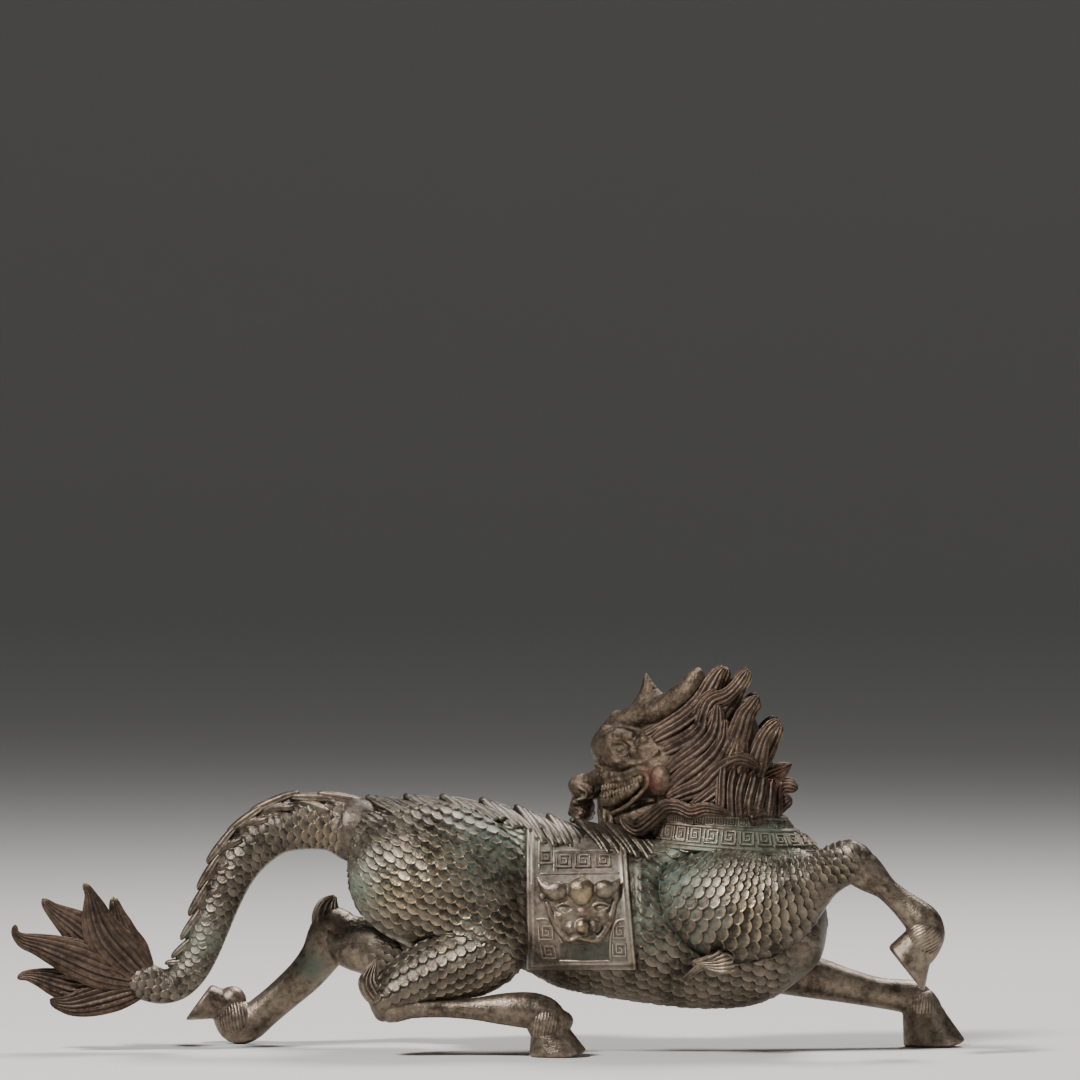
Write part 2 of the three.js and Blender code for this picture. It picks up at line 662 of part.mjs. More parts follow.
// Feet are filed flat where they stand on the ground
function qilin() {
  const aboveGround = block([PAST.tail, -PAST.across, 0], [PAST.front, PAST.across, PAST.up]);
  const forms = [body(), legs(), tail(), crest(), mane(), sideLocks(), head(), saddleCloth(), masks(), collar()];
  return join(forms).intersect(aboveGround);
}

function toMesh(solid, name, material) {
  const mesh = solid.getMesh();
  const geometry = new THREE.BufferGeometry();
  geometry.setAttribute('position', new THREE.BufferAttribute(mesh.vertProperties, mesh.numProp));
  geometry.setIndex(new THREE.BufferAttribute(mesh.triVerts, 1));
  geometry.computeBoundingBox();
  const box = geometry.boundingBox;
  geometry.translate(-(box.min.x + box.max.x) / 2, -(box.min.y + box.max.y) / 2, -box.min.z);
  geometry.computeVertexNormals();
  const out = new THREE.Mesh(geometry, new THREE.MeshStandardMaterial(material));
  out.name = name;
  return out;
}

const group = new THREE.Group();
group.name = 'qilin_figure';
group.add(toMesh(qilin(), 'qilin', BRONZE));

export default group;
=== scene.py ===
import math

import bpy
import numpy as np
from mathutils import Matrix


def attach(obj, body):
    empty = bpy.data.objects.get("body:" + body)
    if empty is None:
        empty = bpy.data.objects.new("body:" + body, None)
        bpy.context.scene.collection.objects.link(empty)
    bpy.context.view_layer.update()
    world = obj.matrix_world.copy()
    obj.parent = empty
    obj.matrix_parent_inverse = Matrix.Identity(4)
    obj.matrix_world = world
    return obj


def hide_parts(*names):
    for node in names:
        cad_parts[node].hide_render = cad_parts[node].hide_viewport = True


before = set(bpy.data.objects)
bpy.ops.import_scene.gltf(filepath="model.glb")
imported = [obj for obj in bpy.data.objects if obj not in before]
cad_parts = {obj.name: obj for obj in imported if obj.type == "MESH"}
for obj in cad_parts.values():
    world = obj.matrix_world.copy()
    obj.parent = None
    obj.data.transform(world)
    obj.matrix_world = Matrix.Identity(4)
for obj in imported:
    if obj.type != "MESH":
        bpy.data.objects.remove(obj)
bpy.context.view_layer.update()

import openvdb
from mathutils import Matrix, Vector

# Length in mm from the tip of the tail tuft to the toe of the front hoof. Places are shares of it, in
# hundredths: along from the tuft, across (plus is the figure's left) and up from the ground.
LENGTH = 259.2
PERCENT = LENGTH / 100
MM = 0.001
# The middle of the figure's box, in the same hundredths
MIDDLE = np.array([49.956, 1.4524, 0.0])

# The head looks back over the left shoulder, this many degrees off the line of the back
HEAD_TURN = math.radians(28)
HEAD = np.array([67.0, 0.6, 29.4])

ACROSS = np.array([0.0, 1.0, 0.0])

# Clay: the margin of air kept round a form, the value of empty air and the size of a grain, all in mm
MARGIN = 4.0
EMPTY = 6.0
GRAIN = {"body": 0.38, "leg": 0.36, "tail": 0.36, "head": 0.27, "mask": 0.22, "mass": 0.8}
# Triangles that a piece may keep
MOST = {"body": 142000, "leg": 18000, "tail": 66000, "head": 92000, "mask": 18000}

# Rows of a form: a place, then its half sizes across and up
TORSO = [
    [35.2, 0, 21.6, 2.4, 2.6], [36.4, 0, 20.4, 4.6, 4.8], [39.0, 0, 19.0, 6.6, 6.4],
    [43.0, 0, 18.0, 7.6, 7.5], [48.0, 0, 17.2, 7.6, 8.0], [53.0, 0, 16.5, 7.2, 7.7],
    [57.0, 0, 15.0, 7.2, 8.1], [61.3, 0, 14.3, 7.4, 8.3], [66.5, 0, 13.6, 7.7, 8.4],
    [71.7, 0, 13.3, 7.8, 8.6], [76.9, 0, 13.4, 7.3, 8.4], [80.5, 0, 13.6, 6.2, 7.1],
    [83.2, 0, 13.4, 4.4, 5.0], [84.4, 0, 13.4, 2.9, 3.3], [85.0, 0, 13.4, 0.4, 0.4],
]
NECK = [
    [75.4, 0, 17.0, 7.0, 8.4], [75.2, 0, 20.4, 7.0, 9.0], [74.8, 0, 22.0, 6.7, 8.2],
    [73.8, 0, 24.0, 6.2, 6.9], [72.6, 0, 28.0, 5.4, 6.1], [72.5, 0, 31.0, 5.0, 5.9],
    [72.8, 0, 34.0, 4.2, 4.9], [73.2, 0, 36.4, 2.8, 3.2], [73.5, 0, 37.8, 1.2, 1.4],
]
TAIL = [
    [38.5, 0, 22.4, 3.0, 3.2], [34.7, 0, 23.2, 2.6, 2.7], [32.6, 0, 23.5, 2.3, 2.5],
    [30.0, 0, 23.4, 2.2, 2.4], [27.4, 0, 22.8, 2.1, 2.35], [25.0, 0, 21.0, 2.0, 2.25],
    [23.2, 0, 18.7, 1.9, 2.15], [21.9, 0, 15.8, 1.8, 1.95], [20.9, 0, 13.2, 1.7, 1.85],
    [19.9, 0, 10.6, 1.6, 1.75], [18.75, 0, 8.5, 1.55, 1.7], [17.3, 0, 7.1, 1.5, 1.7],
    [15.6, 0, 6.7, 1.5, 1.75], [13.9, 0, 7.2, 1.6, 1.85], [13.2, 0, 7.4, 1.0, 1.2],
]
SHOULDERS = [
    [74.6, -5.3, 15.6, 8.0, 4.5, 6.2], [74.6, 5.3, 15.6, 7.6, 4.3, 6.0], [76.5, 0, 16.0, 7.0, 6.6, 6.2],
    [80.0, -4.0, 18.6, 4.2, 3.6, 3.0], [80.0, 4.0, 18.4, 4.0, 3.4, 2.8],
]
HAUNCHES = [[44.3, -5.4, 18.6, 8.9, 4.8, 7.3], [43.4, 5.2, 18.2, 8.4, 4.6, 7.2]]
THIGHS = [
    [[45.5, -5.2, 17.5, 4.0, 6.2], [48.2, -5.8, 14.5, 4.0, 5.0], [50.0, -6.2, 12.0, 3.4, 3.9],
     [50.6, -6.4, 10.2, 2.4, 2.6]],
    [[44.0, 4.6, 18.0, 3.6, 6.6], [44.5, 5.6, 14.0, 3.6, 5.4], [44.3, 6.6, 10.6, 3.2, 4.0],
     [44.0, 7.0, 8.6, 2.0, 2.4]],
]
SHINS = [
    [[51.6, -6.4, 11.4, 1.8, 2.2], [50.0, -6.5, 11.2, 3.0, 3.5], [47.7, -6.8, 10.1, 3.3, 3.9],
     [44.0, -7.2, 8.9, 3.0, 3.2], [40.9, -7.8, 7.4, 2.4, 2.5], [39.3, -8.2, 5.9, 1.9, 1.9],
     [38.8, -8.4, 4.6, 1.2, 1.0]],
    [[45.6, 7.0, 9.2, 1.8, 2.2], [42.5, 7.6, 9.4, 2.9, 3.3], [38.3, 8.6, 10.2, 2.6, 3.0],
     [35.2, 9.4, 10.8, 2.3, 2.7], [33.4, 9.9, 11.8, 2.0, 2.2], [32.6, 10.1, 13.0, 1.4, 1.4]],
]
ARMS = [
    [[68.0, -4.4, 17.2, 2.0, 2.2], [70.0, -5.0, 16.2, 3.4, 4.2], [72.8, -5.4, 15.4, 4.0, 5.2],
     [75.8, -5.6, 15.0, 4.1, 5.1], [78.6, -5.9, 15.3, 3.7, 4.7], [81.0, -6.5, 16.5, 3.1, 3.8],
     [83.6, -7.2, 18.2, 2.5, 2.5], [85.7, -7.7, 19.6, 2.1, 2.25], [87.3, -8.0, 20.2, 1.9, 2.1],
     [88.3, -8.1, 20.0, 1.3, 1.5]],
    [[72.0, 4.6, 16.5, 3.4, 4.8], [75.0, 5.0, 13.0, 3.4, 4.6], [78.5, 5.6, 9.6, 2.8, 3.2],
     [81.5, 6.0, 7.8, 2.0, 2.2], [84.2, 6.4, 7.3, 1.6, 1.85]],
]
LEGS = {
    "leg_hind_right": [
        [38.6, -8.4, 5.4, 1.0, 1.2], [39.6, -8.4, 5.1, 1.5, 1.6], [41.8, -8.5, 5.05, 1.2, 1.1],
        [44.6, -8.5, 5.0, 1.0, 0.95], [46.5, -8.55, 4.95, 1.0, 0.98], [48.6, -8.6, 4.95, 1.15, 1.2],
        [50.6, -8.7, 4.95, 1.4, 1.55], [52.6, -8.7, 4.9, 1.65, 1.8], [54.3, -8.7, 4.75, 1.7, 1.9],
        [55.6, -8.7, 4.4, 1.7, 1.75], [56.2, -8.7, 3.4, 1.7, 1.7], [56.4, -8.7, 2.2, 1.7, 1.7],
    ],
    "leg_hind_left": [
        [38.3, 8.6, 10.2, 2.6, 3.0], [35.2, 9.4, 10.8, 2.3, 2.7], [33.4, 9.9, 12.4, 1.9, 2.2],
        [33.0, 10.0, 11.2, 2.0, 2.5], [31.9, 10.3, 9.3, 1.7, 2.1], [30.3, 10.7, 7.3, 1.6, 1.9],
        [28.0, 11.2, 5.2, 1.5, 1.75], [26.0, 11.6, 3.5, 1.5, 1.75], [24.2, 11.9, 2.1, 1.6, 1.9],
        [22.9, 12.0, 2.1, 1.5, 1.9], [22.0, 12.0, 3.7, 1.4, 1.6], [21.4, 12.0, 5.0, 0.8, 0.9],
    ],
    "leg_fore_right": [
        [86.8, -7.9, 19.7, 1.3, 1.4], [87.9, -8.0, 19.6, 1.75, 1.95], [89.0, -8.1, 18.8, 1.6, 1.8],
        [90.6, -8.3, 17.5, 1.2, 1.25], [92.1, -8.5, 16.2, 1.2, 1.3],
        [93.5, -8.7, 15.0, 1.4, 1.6], [94.6, -8.9, 13.9, 1.6, 1.85], [95.1, -9.0, 12.7, 1.45, 1.75],
        [94.8, -9.0, 11.5, 1.4, 1.6], [94.4, -9.0, 10.8, 1.3, 1.5],
    ],
    "leg_fore_left": [
        [80.5, 5.9, 8.0, 2.2, 2.4], [84.2, 6.4, 7.2, 1.9, 2.15], [87.3, 6.8, 6.4, 1.6, 1.8],
        [90.4, 7.2, 5.7, 1.45, 1.6], [92.6, 7.4, 5.4, 1.55, 1.7], [94.2, 7.5, 5.1, 1.6, 1.8],
        [95.2, 7.5, 4.3, 1.4, 1.5], [96.0, 7.5, 3.2, 1.4, 1.5],
    ],
}
# A hoof: the middle of its sole, the way its toe points and its wall rises (along, up), then half length,
# half width, height and how far its top lies back of the sole's middle
HOOVES = {
    "leg_hind_right": [[57.1, -8.7, 0.0], [1, 0], [0, 1], 3.25, 2.5, 3.2, 1.1],
    "leg_hind_left": [[19.0, 12.0, 4.4], [-0.59, -0.81], [0.81, -0.59], 2.4, 2.1, 3.0, 1.5],
    "leg_fore_right": [[92.8, -9.0, 9.0], [0.62, -0.78], [0.78, 0.62], 3.0, 2.2, 3.3, 1.5],
    "leg_fore_left": [[96.6, 7.5, 0.0], [1, 0], [0, 1], 3.5, 2.5, 4.3, 1.6],
}
# How far a hoof's toe lifts off the ground and how soft its lower edge is
HOOF = {"lift": 0.85, "soft": 0.45}
# Hair over each fetlock: the middle of the joint, its radius and the way the hair hangs (along, up)
FEATHERS = {
    "leg_hind_right": [[55.35, -8.7, 4.0], 1.72, [0.5, -0.87]],
    "leg_hind_left": [[23.5, 12.0, 2.35], 1.7, [-0.75, 0.66]],
    "leg_fore_right": [[94.9, -8.95, 13.0], 1.7, [-0.35, -0.94]],
    "leg_fore_left": [[94.6, 7.5, 4.7], 1.6, [0.62, -0.78]],
}
FEATHER_LOCKS = 25
FEATHER_SLANT = 0.85
# Stations of one lock: how far down the joint, how far out from its middle, and the half width, in radii
FEATHER_ROWS = [
    (-0.7, 0.5, 0.05), (-0.4, 0.85, 0.17), (0.05, 1.02, 0.25), (0.5, 1.04, 0.24), (0.9, 1.03, 0.16),
    (1.2, 1.0, 0.04),
]
# Knobs of the joints: the pastern of the folded hind leg and the bulb over the near hind hoof
KNOBS = {
    "leg_hind_left": [22.6, 12, 4.6, 1.5, 1.4, 1.5], "leg_hind_right": [57.1, -8.7, 3.7, 1.35, 1.6, 1.15],
}
# Scales: their width and the distance between rows in mm, the radius of their free edge and their height
SCALE = {"wide": 3.6, "pitch": 2.85, "tip": 2.2, "high": 0.72, "groove": 0.16, "soft": 0.22}
TAIL_SCALE = {"wide": 2.8, "pitch": 2.05, "tip": 1.68, "high": 0.5, "groove": 0.1, "soft": 0.2}
TAIL_COLUMNS = 11

# Saddle cloth: its ends along the back, its lower edge, its thickness, and its border of two beads
CLOTH = {"from": 53.6, "to": 65.0, "slant": 1.1, "low": 9.0, "thick": 0.26, "bead": 0.2}
# Collar: the edges of its two bands of fret and how it tilts down toward the chest
COLLAR = {"low": 20.9, "split": 23.5, "high": 24.9, "thick": 0.2, "tilt": -0.07, "middle": 75.0, "bead": 0.18}
MASK = {"along": 59.5, "up": 14.9, "out": 7.2}
# The scales of the shoulders turn round this point, seen from the side, and are true to size this far from it
SHOULDER_TURN = {"along": 78.96, "up": 27.5, "true": 13.5, "long": 1.13}
# The line of each shin, along and up, and how far out its middle lies
SHIN_LINES = {"right": [[51.6, 11.4], [38.8, 4.6], 6.6], "left": [[45.6, 9.2], [32.6, 13.0], 8.2]}


def place(spots):
    """Places in hundredths become mm in the figure's frame."""
    return (np.asarray(spots, float)[..., :3] - MIDDLE) * PERCENT


def head_place(spots):
    """Places in the head's own directions, forward, left and up, become mm in the figure's frame."""
    spots = np.asarray(spots, float)
    c, s = math.cos(HEAD_TURN), math.sin(HEAD_TURN)
    forward, left, up = spots[..., 0], spots[..., 1], spots[..., 2]
    return place(np.stack([HEAD[0] - c * forward - s * left, HEAD[1] + s * forward - c * left,
                           HEAD[2] + up], -1))


HEAD_AXES = np.array([head_place(axis) - head_place([0, 0, 0]) for axis in np.eye(3)]) / PERCENT
STRAIGHT = np.eye(3)


def unit(v):
    return v / np.maximum(np.linalg.norm(v, axis=-1, keepdims=True), 1e-9)


def smooth(rows, steps):
    """Rows joined by a smooth curve, with a number of steps between neighbours."""
    rows = np.asarray(rows, float)
    ends = np.vstack([rows[:1], rows, rows[-1:]])
    t = (np.arange(steps) / steps)[:, None]
    out = []
    for a, b, c, d in zip(ends[:-3], ends[1:-2], ends[2:-1], ends[3:]):
        slope, after = (c - a) / 2, (d - b) / 2
        out.append(((2 * b - 2 * c + slope + after) * t + (3 * c - 3 * b - 2 * slope - after)) * t * t
                   + slope * t + b)
    return np.vstack(out + [rows[-1:]])


def frames(path, across):
    """Directions at each station of a path: ahead, to the side and over."""
    ahead = unit(np.vstack([path[1:2] - path[:1], path[2:] - path[:-2], path[-1:] - path[-2:-1]]))
    side = unit(across - ahead * (ahead @ across)[:, None])
    return ahead, side, np.cross(ahead, side)


def merge(old, new, soft, cut=False):
    """Joins two fields of distances, or cuts the new from the old, with a soft fillet between them."""
    sign = -1.0 if cut else 1.0
    a = old * sign
    low = np.minimum(a, new)
    if soft:
        near = np.maximum(soft - np.abs(a - new), 0)
        low = low - near * near / (4 * soft)
    return low * sign


def egg_distance(parts, halves):
    """Nearly the distance from an egg-shaped surface, for offsets along its three axes."""
    k = np.sqrt(sum((p / h) ** 2 for p, h in zip(parts, halves)))
    far = np.sqrt(sum(p * p for p in parts))
    return far * (1 - 1 / np.maximum(k, 0.02))


class Clay:
    """A block of clay as distances to its surface, in mm, on an even grid."""

    def __init__(self, low, high, grain):
        self.grain = grain
        self.first = np.floor(np.asarray(low) / grain).astype(int)
        self.size = np.ceil(np.asarray(high) / grain).astype(int) - self.first + 1
        self.far = np.full(self.size, EMPTY, np.float32)

    def window(self, low, high):
        a = np.clip(np.floor(np.asarray(low) / self.grain).astype(int) - self.first, 0, self.size)
        b = np.clip(np.ceil(np.asarray(high) / self.grain).astype(int) - self.first + 1, 0, self.size)
        spots = [((np.arange(i, j) + f) * self.grain).astype(np.float32) for i, j, f in zip(a, b, self.first)]
        return tuple(slice(i, j) for i, j in zip(a, b)), np.meshgrid(*spots, indexing="ij", sparse=True)

    def put(self, distance, low, high, soft=0.0, cut=False):
        where, spots = self.window(low, high)
        if self.far[where].size:
            self.far[where] = merge(self.far[where], distance(*spots), soft, cut)

    def join(self, part, soft=0.0, cut=False):
        a = np.maximum(part.first, self.first)
        b = np.minimum(part.first + part.size, self.first + self.size)
        mine = tuple(slice(i, j) for i, j in zip(a - self.first, b - self.first))
        other = tuple(slice(i, j) for i, j in zip(a - part.first, b - part.first))
        self.far[mine] = merge(self.far[mine], part.far[other], soft, cut)

    def egg(self, row, soft=0.0, cut=False, at=place, axes=STRAIGHT):
        """A swelling, or a hollow: a place and three half sizes in hundredths."""
        middle = at(row[:3])
        halves = np.asarray(row[3:6], float) * PERCENT
        reach = np.abs(axes.T @ halves) + halves.max() * 0.3 + MARGIN

        def distance(x, y, z):
            parts = [(x - middle[0]) * a[0] + (y - middle[1]) * a[1] + (z - middle[2]) * a[2] for a in axes]
            return egg_distance(parts, halves)

        self.put(distance, middle - reach, middle + reach, soft, cut)

    def tube(self, rows, soft=0.0, cut=False, at=place, across=ACROSS, steps=3):
        """A limb with oval sections along its rows."""
        table = smooth(rows, steps)
        path = at(table[:, :3])
        sizes = np.maximum(table[:, 3:5], 0.1) * PERCENT
        reach = sizes.max() + MARGIN
        part = Clay(path.min(0) - reach, path.max(0) + reach, self.grain)
        for i in range(len(path) - 1):
            part.bone(path[i:i + 2], sizes[i:i + 2], across)
        self.join(part, soft, cut)

    def bone(self, ends, sizes, across):
        along = ends[1] - ends[0]
        long = max(np.linalg.norm(along), 1e-6)
        ahead = along / long
        side = unit(across - ahead * (ahead @ across))
        over = np.cross(ahead, side)
        reach = sizes.max() + MARGIN

        def distance(x, y, z):
            dx, dy, dz = x - ends[0][0], y - ends[0][1], z - ends[0][2]
            s, a, b = (dx * d[0] + dy * d[1] + dz * d[2] for d in (ahead, side, over))
            t = np.clip(s / long, 0, 1)
            halves = [sizes[0][i] + (sizes[1][i] - sizes[0][i]) * t for i in (0, 1)]
            return egg_distance([s - t * long, a, b], [np.minimum(*halves), *halves])

        self.put(distance, ends.min(0) - reach, ends.max(0) + reach)

    def sweep(self, rows, axis, soft=0.0):
        """A trunk whose sections all face one axis of the frame: 0 for along, 2 for up."""
        table = smooth(rows, 8)
        path = place(table[:, :3])
        halves = table[:, 3:5] * PERCENT
        order = np.argsort(path[:, axis])
        other = 2 if axis == 0 else 0
        reach = halves.max() + MARGIN

        def distance(x, y, z):
            spots = (x, y, z)
            run = spots[axis]
            known = [np.interp(run, path[order, axis], values[order]).astype(np.float32)
                     for values in (path[:, 1], path[:, other], halves[:, 0], halves[:, 1])]
            past = np.maximum(path[:, axis].min() - run, run - path[:, axis].max())
            section = egg_distance([y - known[0], spots[other] - known[1]], [known[2], known[3]])
            return np.maximum(section, past)

        self.put(distance, path.min(0) - reach, path.max(0) + reach, soft)

    def hoof(self, row, soft=0.5):
        sole, toe, rise, half, wide, high, back = row
        middle = place(sole)
        toe, rise = np.array([toe[0], 0, toe[1]]), np.array([rise[0], 0, rise[1]])
        reach = (half + high + 1) * PERCENT + MARGIN

        def distance(x, y, z):
            dx, dy, dz = (x - middle[0]) / PERCENT, (y - middle[1]) / PERCENT, (z - middle[2]) / PERCENT
            up = dx * rise[0] + dz * rise[2]
            t = np.clip(up / high, 0, 1)
            ahead = dx * toe[0] + dz * toe[2] + back * t
            side = egg_distance([ahead + 0 * dy, dy + 0 * ahead],
                                [half * (1 - 0.42 * t), wide * (1 - 0.32 * t)])
            front = np.clip((dx * toe[0] + dz * toe[2]) / half, 0, 1)
            lift = (HOOF["lift"] if rise[2] == 1 else 0) * front ** 2
            walled = -merge(-side, up - lift, HOOF["soft"])
            return PERCENT * np.maximum(walled, up - high)

        self.put(distance, middle - reach, middle + reach, soft)

    def sample(self, points):
        """The distance at any points, from the eight grid values round each."""
        at = points / self.grain - self.first
        base = np.clip(np.floor(at).astype(int), 0, self.size - 2)
        f = np.clip(at - base, 0, 1)
        total = 0
        for corner in np.ndindex(2, 2, 2):
            weight = np.prod(np.where(corner, f, 1 - f), axis=1)
            i, j, k = (base + corner).T
            total = total + weight * self.far[i, j, k]
        return total

    def skin(self, low=None, high=None):
        """The closed surface as points and four-sided faces, cut off flat at either end along the figure."""
        far = self.far
        x = (np.arange(self.size[0]) + self.first[0]) * self.grain
        for limit, sign in ((low, -1), (high, 1)):
            if limit is not None:
                far = np.maximum(far, (sign * (x - limit))[:, None, None].astype(np.float32))
        grid = openvdb.FloatGrid(EMPTY)
        grid.copyFromArray(np.ascontiguousarray(far, dtype=np.float32))
        points, quads = grid.convertToQuads(0.0)
        points = (points + self.first) * self.grain
        quads = np.asarray(quads, dtype=np.int64)
        a, b, c, d = (points[quads[:, i]] for i in range(4))
        volume = np.einsum("ij,ij->", a, np.cross(b, c)) + np.einsum("ij,ij->", a, np.cross(c, d))
        return points, quads if volume > 0 else quads[:, ::-1]


def to_mesh(name, points, faces, values=None):
    """A mesh in metres from points in mm and faces that all have the same number of corners."""
    mesh = bpy.data.meshes.new(name)
    count, corners = faces.shape
    mesh.vertices.add(len(points))
    mesh.vertices.foreach_set("co", (np.asarray(points) * MM).astype(np.float32).ravel())
    mesh.loops.add(count * corners)
    mesh.loops.foreach_set("vertex_index", faces.astype(np.int32).ravel())
    mesh.polygons.add(count)
    mesh.polygons.foreach_set("loop_start", np.arange(0, count * corners, corners, dtype=np.int32))
    mesh.update(calc_edges=True)
    mesh.validate()
    mesh.shade_smooth()
    for key, value in (values or {}).items():
        layer = mesh.attributes.new(key, "FLOAT", "POINT")
        layer.data.foreach_set("value", np.asarray(value, np.float32))
    return mesh


def normals_of(points, faces):
    a, b, c = (points[faces[:, i]] for i in (0, 1, 2))
    flat = np.cross(b - a, c - a)
    if faces.shape[1] == 4:
        flat = flat + np.cross(c - a, points[faces[:, 3]] - a)
    out = np.zeros_like(points)
    for i in range(faces.shape[1]):
        for axis in range(3):
            out[:, axis] += np.bincount(faces[:, i], flat[:, axis], len(points))
    return unit(out)


def show(name, mesh):
    thing = bpy.data.objects.new(name, mesh)
    bpy.context.scene.collection.objects.link(thing)
    return thing


def bake_down(thing):
    """The modifiers' result becomes the plain mesh."""
    graph = bpy.context.evaluated_depsgraph_get()
    graph.update()
    mesh = bpy.data.meshes.new_from_object(thing.evaluated_get(graph))
    thing.modifiers.clear()
    old = thing.data
    thing.data = mesh
    bpy.data.meshes.remove(old)
    return thing


def node(tree, kind, inputs=None, **settings):
    """Adds a node with its settings and inputs, each a value, a socket or a node, by its first output."""
    made = tree.nodes.new(kind)
    for key, value in settings.items():
        setattr(made, key, value)
    for key, value in (inputs or {}).items():
        if isinstance(value, bpy.types.Node):
            value = next(out for out in value.outputs if out.enabled)
        if isinstance(value, bpy.types.NodeSocket):
            tree.links.new(value, made.inputs[key])
        else:
            made.inputs[key].default_value = value
    return made


# What each sign of a sum, or its signs together, does
SIGNS = {
    "+": "ADD", "-": "SUBTRACT", "*": "MULTIPLY", "/": "DIVIDE", "*+": "MULTIPLY_ADD", "%": "FLOORED_MODULO",
    "<": "LESS_THAN", "max": "MAXIMUM", "ceil": "CEIL", "round": "ROUND", "sqrt": "SQRT", "abs": "ABSOLUTE",
}


def work_out(tree, known, sums):
    """Adds sums to a tree, each a name and what it is worked out from: signs, and known names or numbers.
    The result of a sum written with =! is kept from 0 to 1."""
    for line in sums:
        name, equals, *words = line.split()
        signs = "".join(word for word in words if word in SIGNS)
        values = [known[word] if word in known else float(word) for word in words if word not in SIGNS]
        known[name] = node(tree, "ShaderNodeMath", dict(enumerate(values)), operation=SIGNS[signs],
                           use_clamp=equals == "=!")
    return known


# Each scale is domed: it sinks toward its edge by one share of its height, and its rim stands up by another.
SCALE_FORM = {"dome": 0.12, "rim_up": 0.24}
# A scale's height where it lies over the next row, from the distances along and across in mm. The row ahead
# lies on top: a point inside its rounded free edge is on it, and any other on the root of the next.
SCALE_SUMS = [
    "reach = along - tip", "rows = reach / pitch", "row = ceil rows", "row_at = row * pitch",
    "ahead = along - row_at", "odd = row % 2", "shift = odd * 0.5", "steps = across / wide",
    "shifted = steps - shift", "column = round shifted", "off = shifted - column", "aside = off * wide",
    "front = ahead max 0", "front_sq = front * front", "aside_sq = aside * aside",
    "sum_sq = front_sq + aside_sq", "away = sqrt sum_sq", "edge = tip - away", "edge_soft = edge / soft",
    "inside =! edge_soft + 0.5", "next_row = row + 1", "next_odd = next_row % 2",
    "next_shift = next_odd * 0.5", "next_shifted = steps - next_shift", "next_column = round next_shifted",
    "next_off = next_shifted - next_column", "next_aside = next_off * wide", "out_share = away / tip",
    "out_sq = out_share * out_share", "out_four = out_sq * out_sq", "sunk = out_four * dome",
    "next_share = next_aside / tip", "next_sq = next_share * next_share", "next_four = next_sq * next_sq",
    "next_sunk = next_four * dome", "full = tip + 2", "top_run = ahead + 2", "top_flat =! top_run / full",
    "top = top_flat - sunk", "root_run = top_run - pitch", "root_flat =! root_run / full",
    "root = root_flat - next_sunk", "step = top - root", "lift = step * inside", "flat = root + lift",
    "gap_off = edge + 0.2", "gap_far = abs gap_off", "gap_near = gap_far / 0.36", "groove =! 1 - gap_near",
    "rim_off = edge - 0.24", "rim_far = abs rim_off", "rim_near = rim_far / 0.3", "rim =! 1 - rim_near",
    "rim_in = rim * inside", "height = rim_in * rim_up + flat", "out = edge < 0", "row_here = row + out",
    "column_step = next_column - column", "column_add = column_step * out",
    "column_here = column + column_add",
]


def add_sockets(tree, inputs, output):
    """Gives a tree its named inputs, each of a kind, and its one output, a shape."""
    for name, kind in inputs.items():
        tree.interface.new_socket(name, in_out="INPUT", socket_type="NodeSocket" + kind)
    tree.interface.new_socket(output, in_out="OUTPUT", socket_type="NodeSocketGeometry")


# What the measures of a scale are called where the relief takes them in
RELIEF_NAMES = {
    "wide": "Scale Width mm", "pitch": "Row Pitch mm", "tip": "Free Edge Radius mm",
    "soft": "Edge Softness mm", "high": "Scale Height mm", "groove": "Groove Depth mm",
}


def relief_tree():
    """Raises scales over a surface that carries its own directions."""
    tree = bpy.data.node_groups.new("scale_relief", "GeometryNodeTree")
    add_sockets(tree, {"Surface": "Geometry", **{label: "Float" for label in RELIEF_NAMES.values()},
                       "Material": "Material"}, "Surface")
    given = node(tree, "NodeGroupInput")
    known = {**SCALE_FORM, "mm": MM, **{key: given.outputs[label] for key, label in RELIEF_NAMES.items()}}
    known["groove_deep"] = known["groove"]
    for key in ("along", "across", "scaly"):
        known[key] = node(tree, "GeometryNodeInputNamedAttribute", {"Name": key}, data_type="FLOAT")
    known = work_out(tree, known, SCALE_SUMS + ["raised = height * high", "cut = groove * groove_deep",
                                                "scale_lift = raised - cut", "up_mm = scale_lift * scaly",
                                                "up = up_mm * mm"])
    normal = node(tree, "GeometryNodeInputNormal")
    offset = node(tree, "ShaderNodeVectorMath", {0: normal, "Scale": known["up"]}, operation="SCALE")
    moved = node(tree, "GeometryNodeSetPosition", {"Geometry": given.outputs["Surface"], "Offset": offset})
    plain = node(tree, "GeometryNodeRealizeInstances", {0: moved})
    clad = node(tree, "GeometryNodeSetMaterial", {"Geometry": plain, "Material": given.outputs["Material"]})
    node(tree, "NodeGroupOutput", {"Surface": clad})
    return tree


def set_inputs(modifier, tree, values):
    """Sets a modifier's inputs by their sockets' identifiers."""
    for item in tree.interface.items_tree:
        if item.item_type == "SOCKET" and item.in_out == "INPUT" and item.name in values:
            modifier[item.identifier] = values[item.name]


RELIEF = relief_tree()


def raise_relief(thing, scale, material, most):
    """Scales rise from the surface, which is then thinned to its number of triangles."""
    modifier = thing.modifiers.new("relief", "NODES")
    modifier.node_group = RELIEF
    values = {RELIEF_NAMES[key]: value for key, value in scale.items()}
    values["Material"] = material
    set_inputs(modifier, RELIEF, values)
    tris = 2 * len(thing.data.polygons)
    if tris > most:
        thin = thing.modifiers.new("thin", "DECIMATE")
        thin.ratio = most / tris
        thin.use_collapse_triangulate = True
    return bake_down(thing)


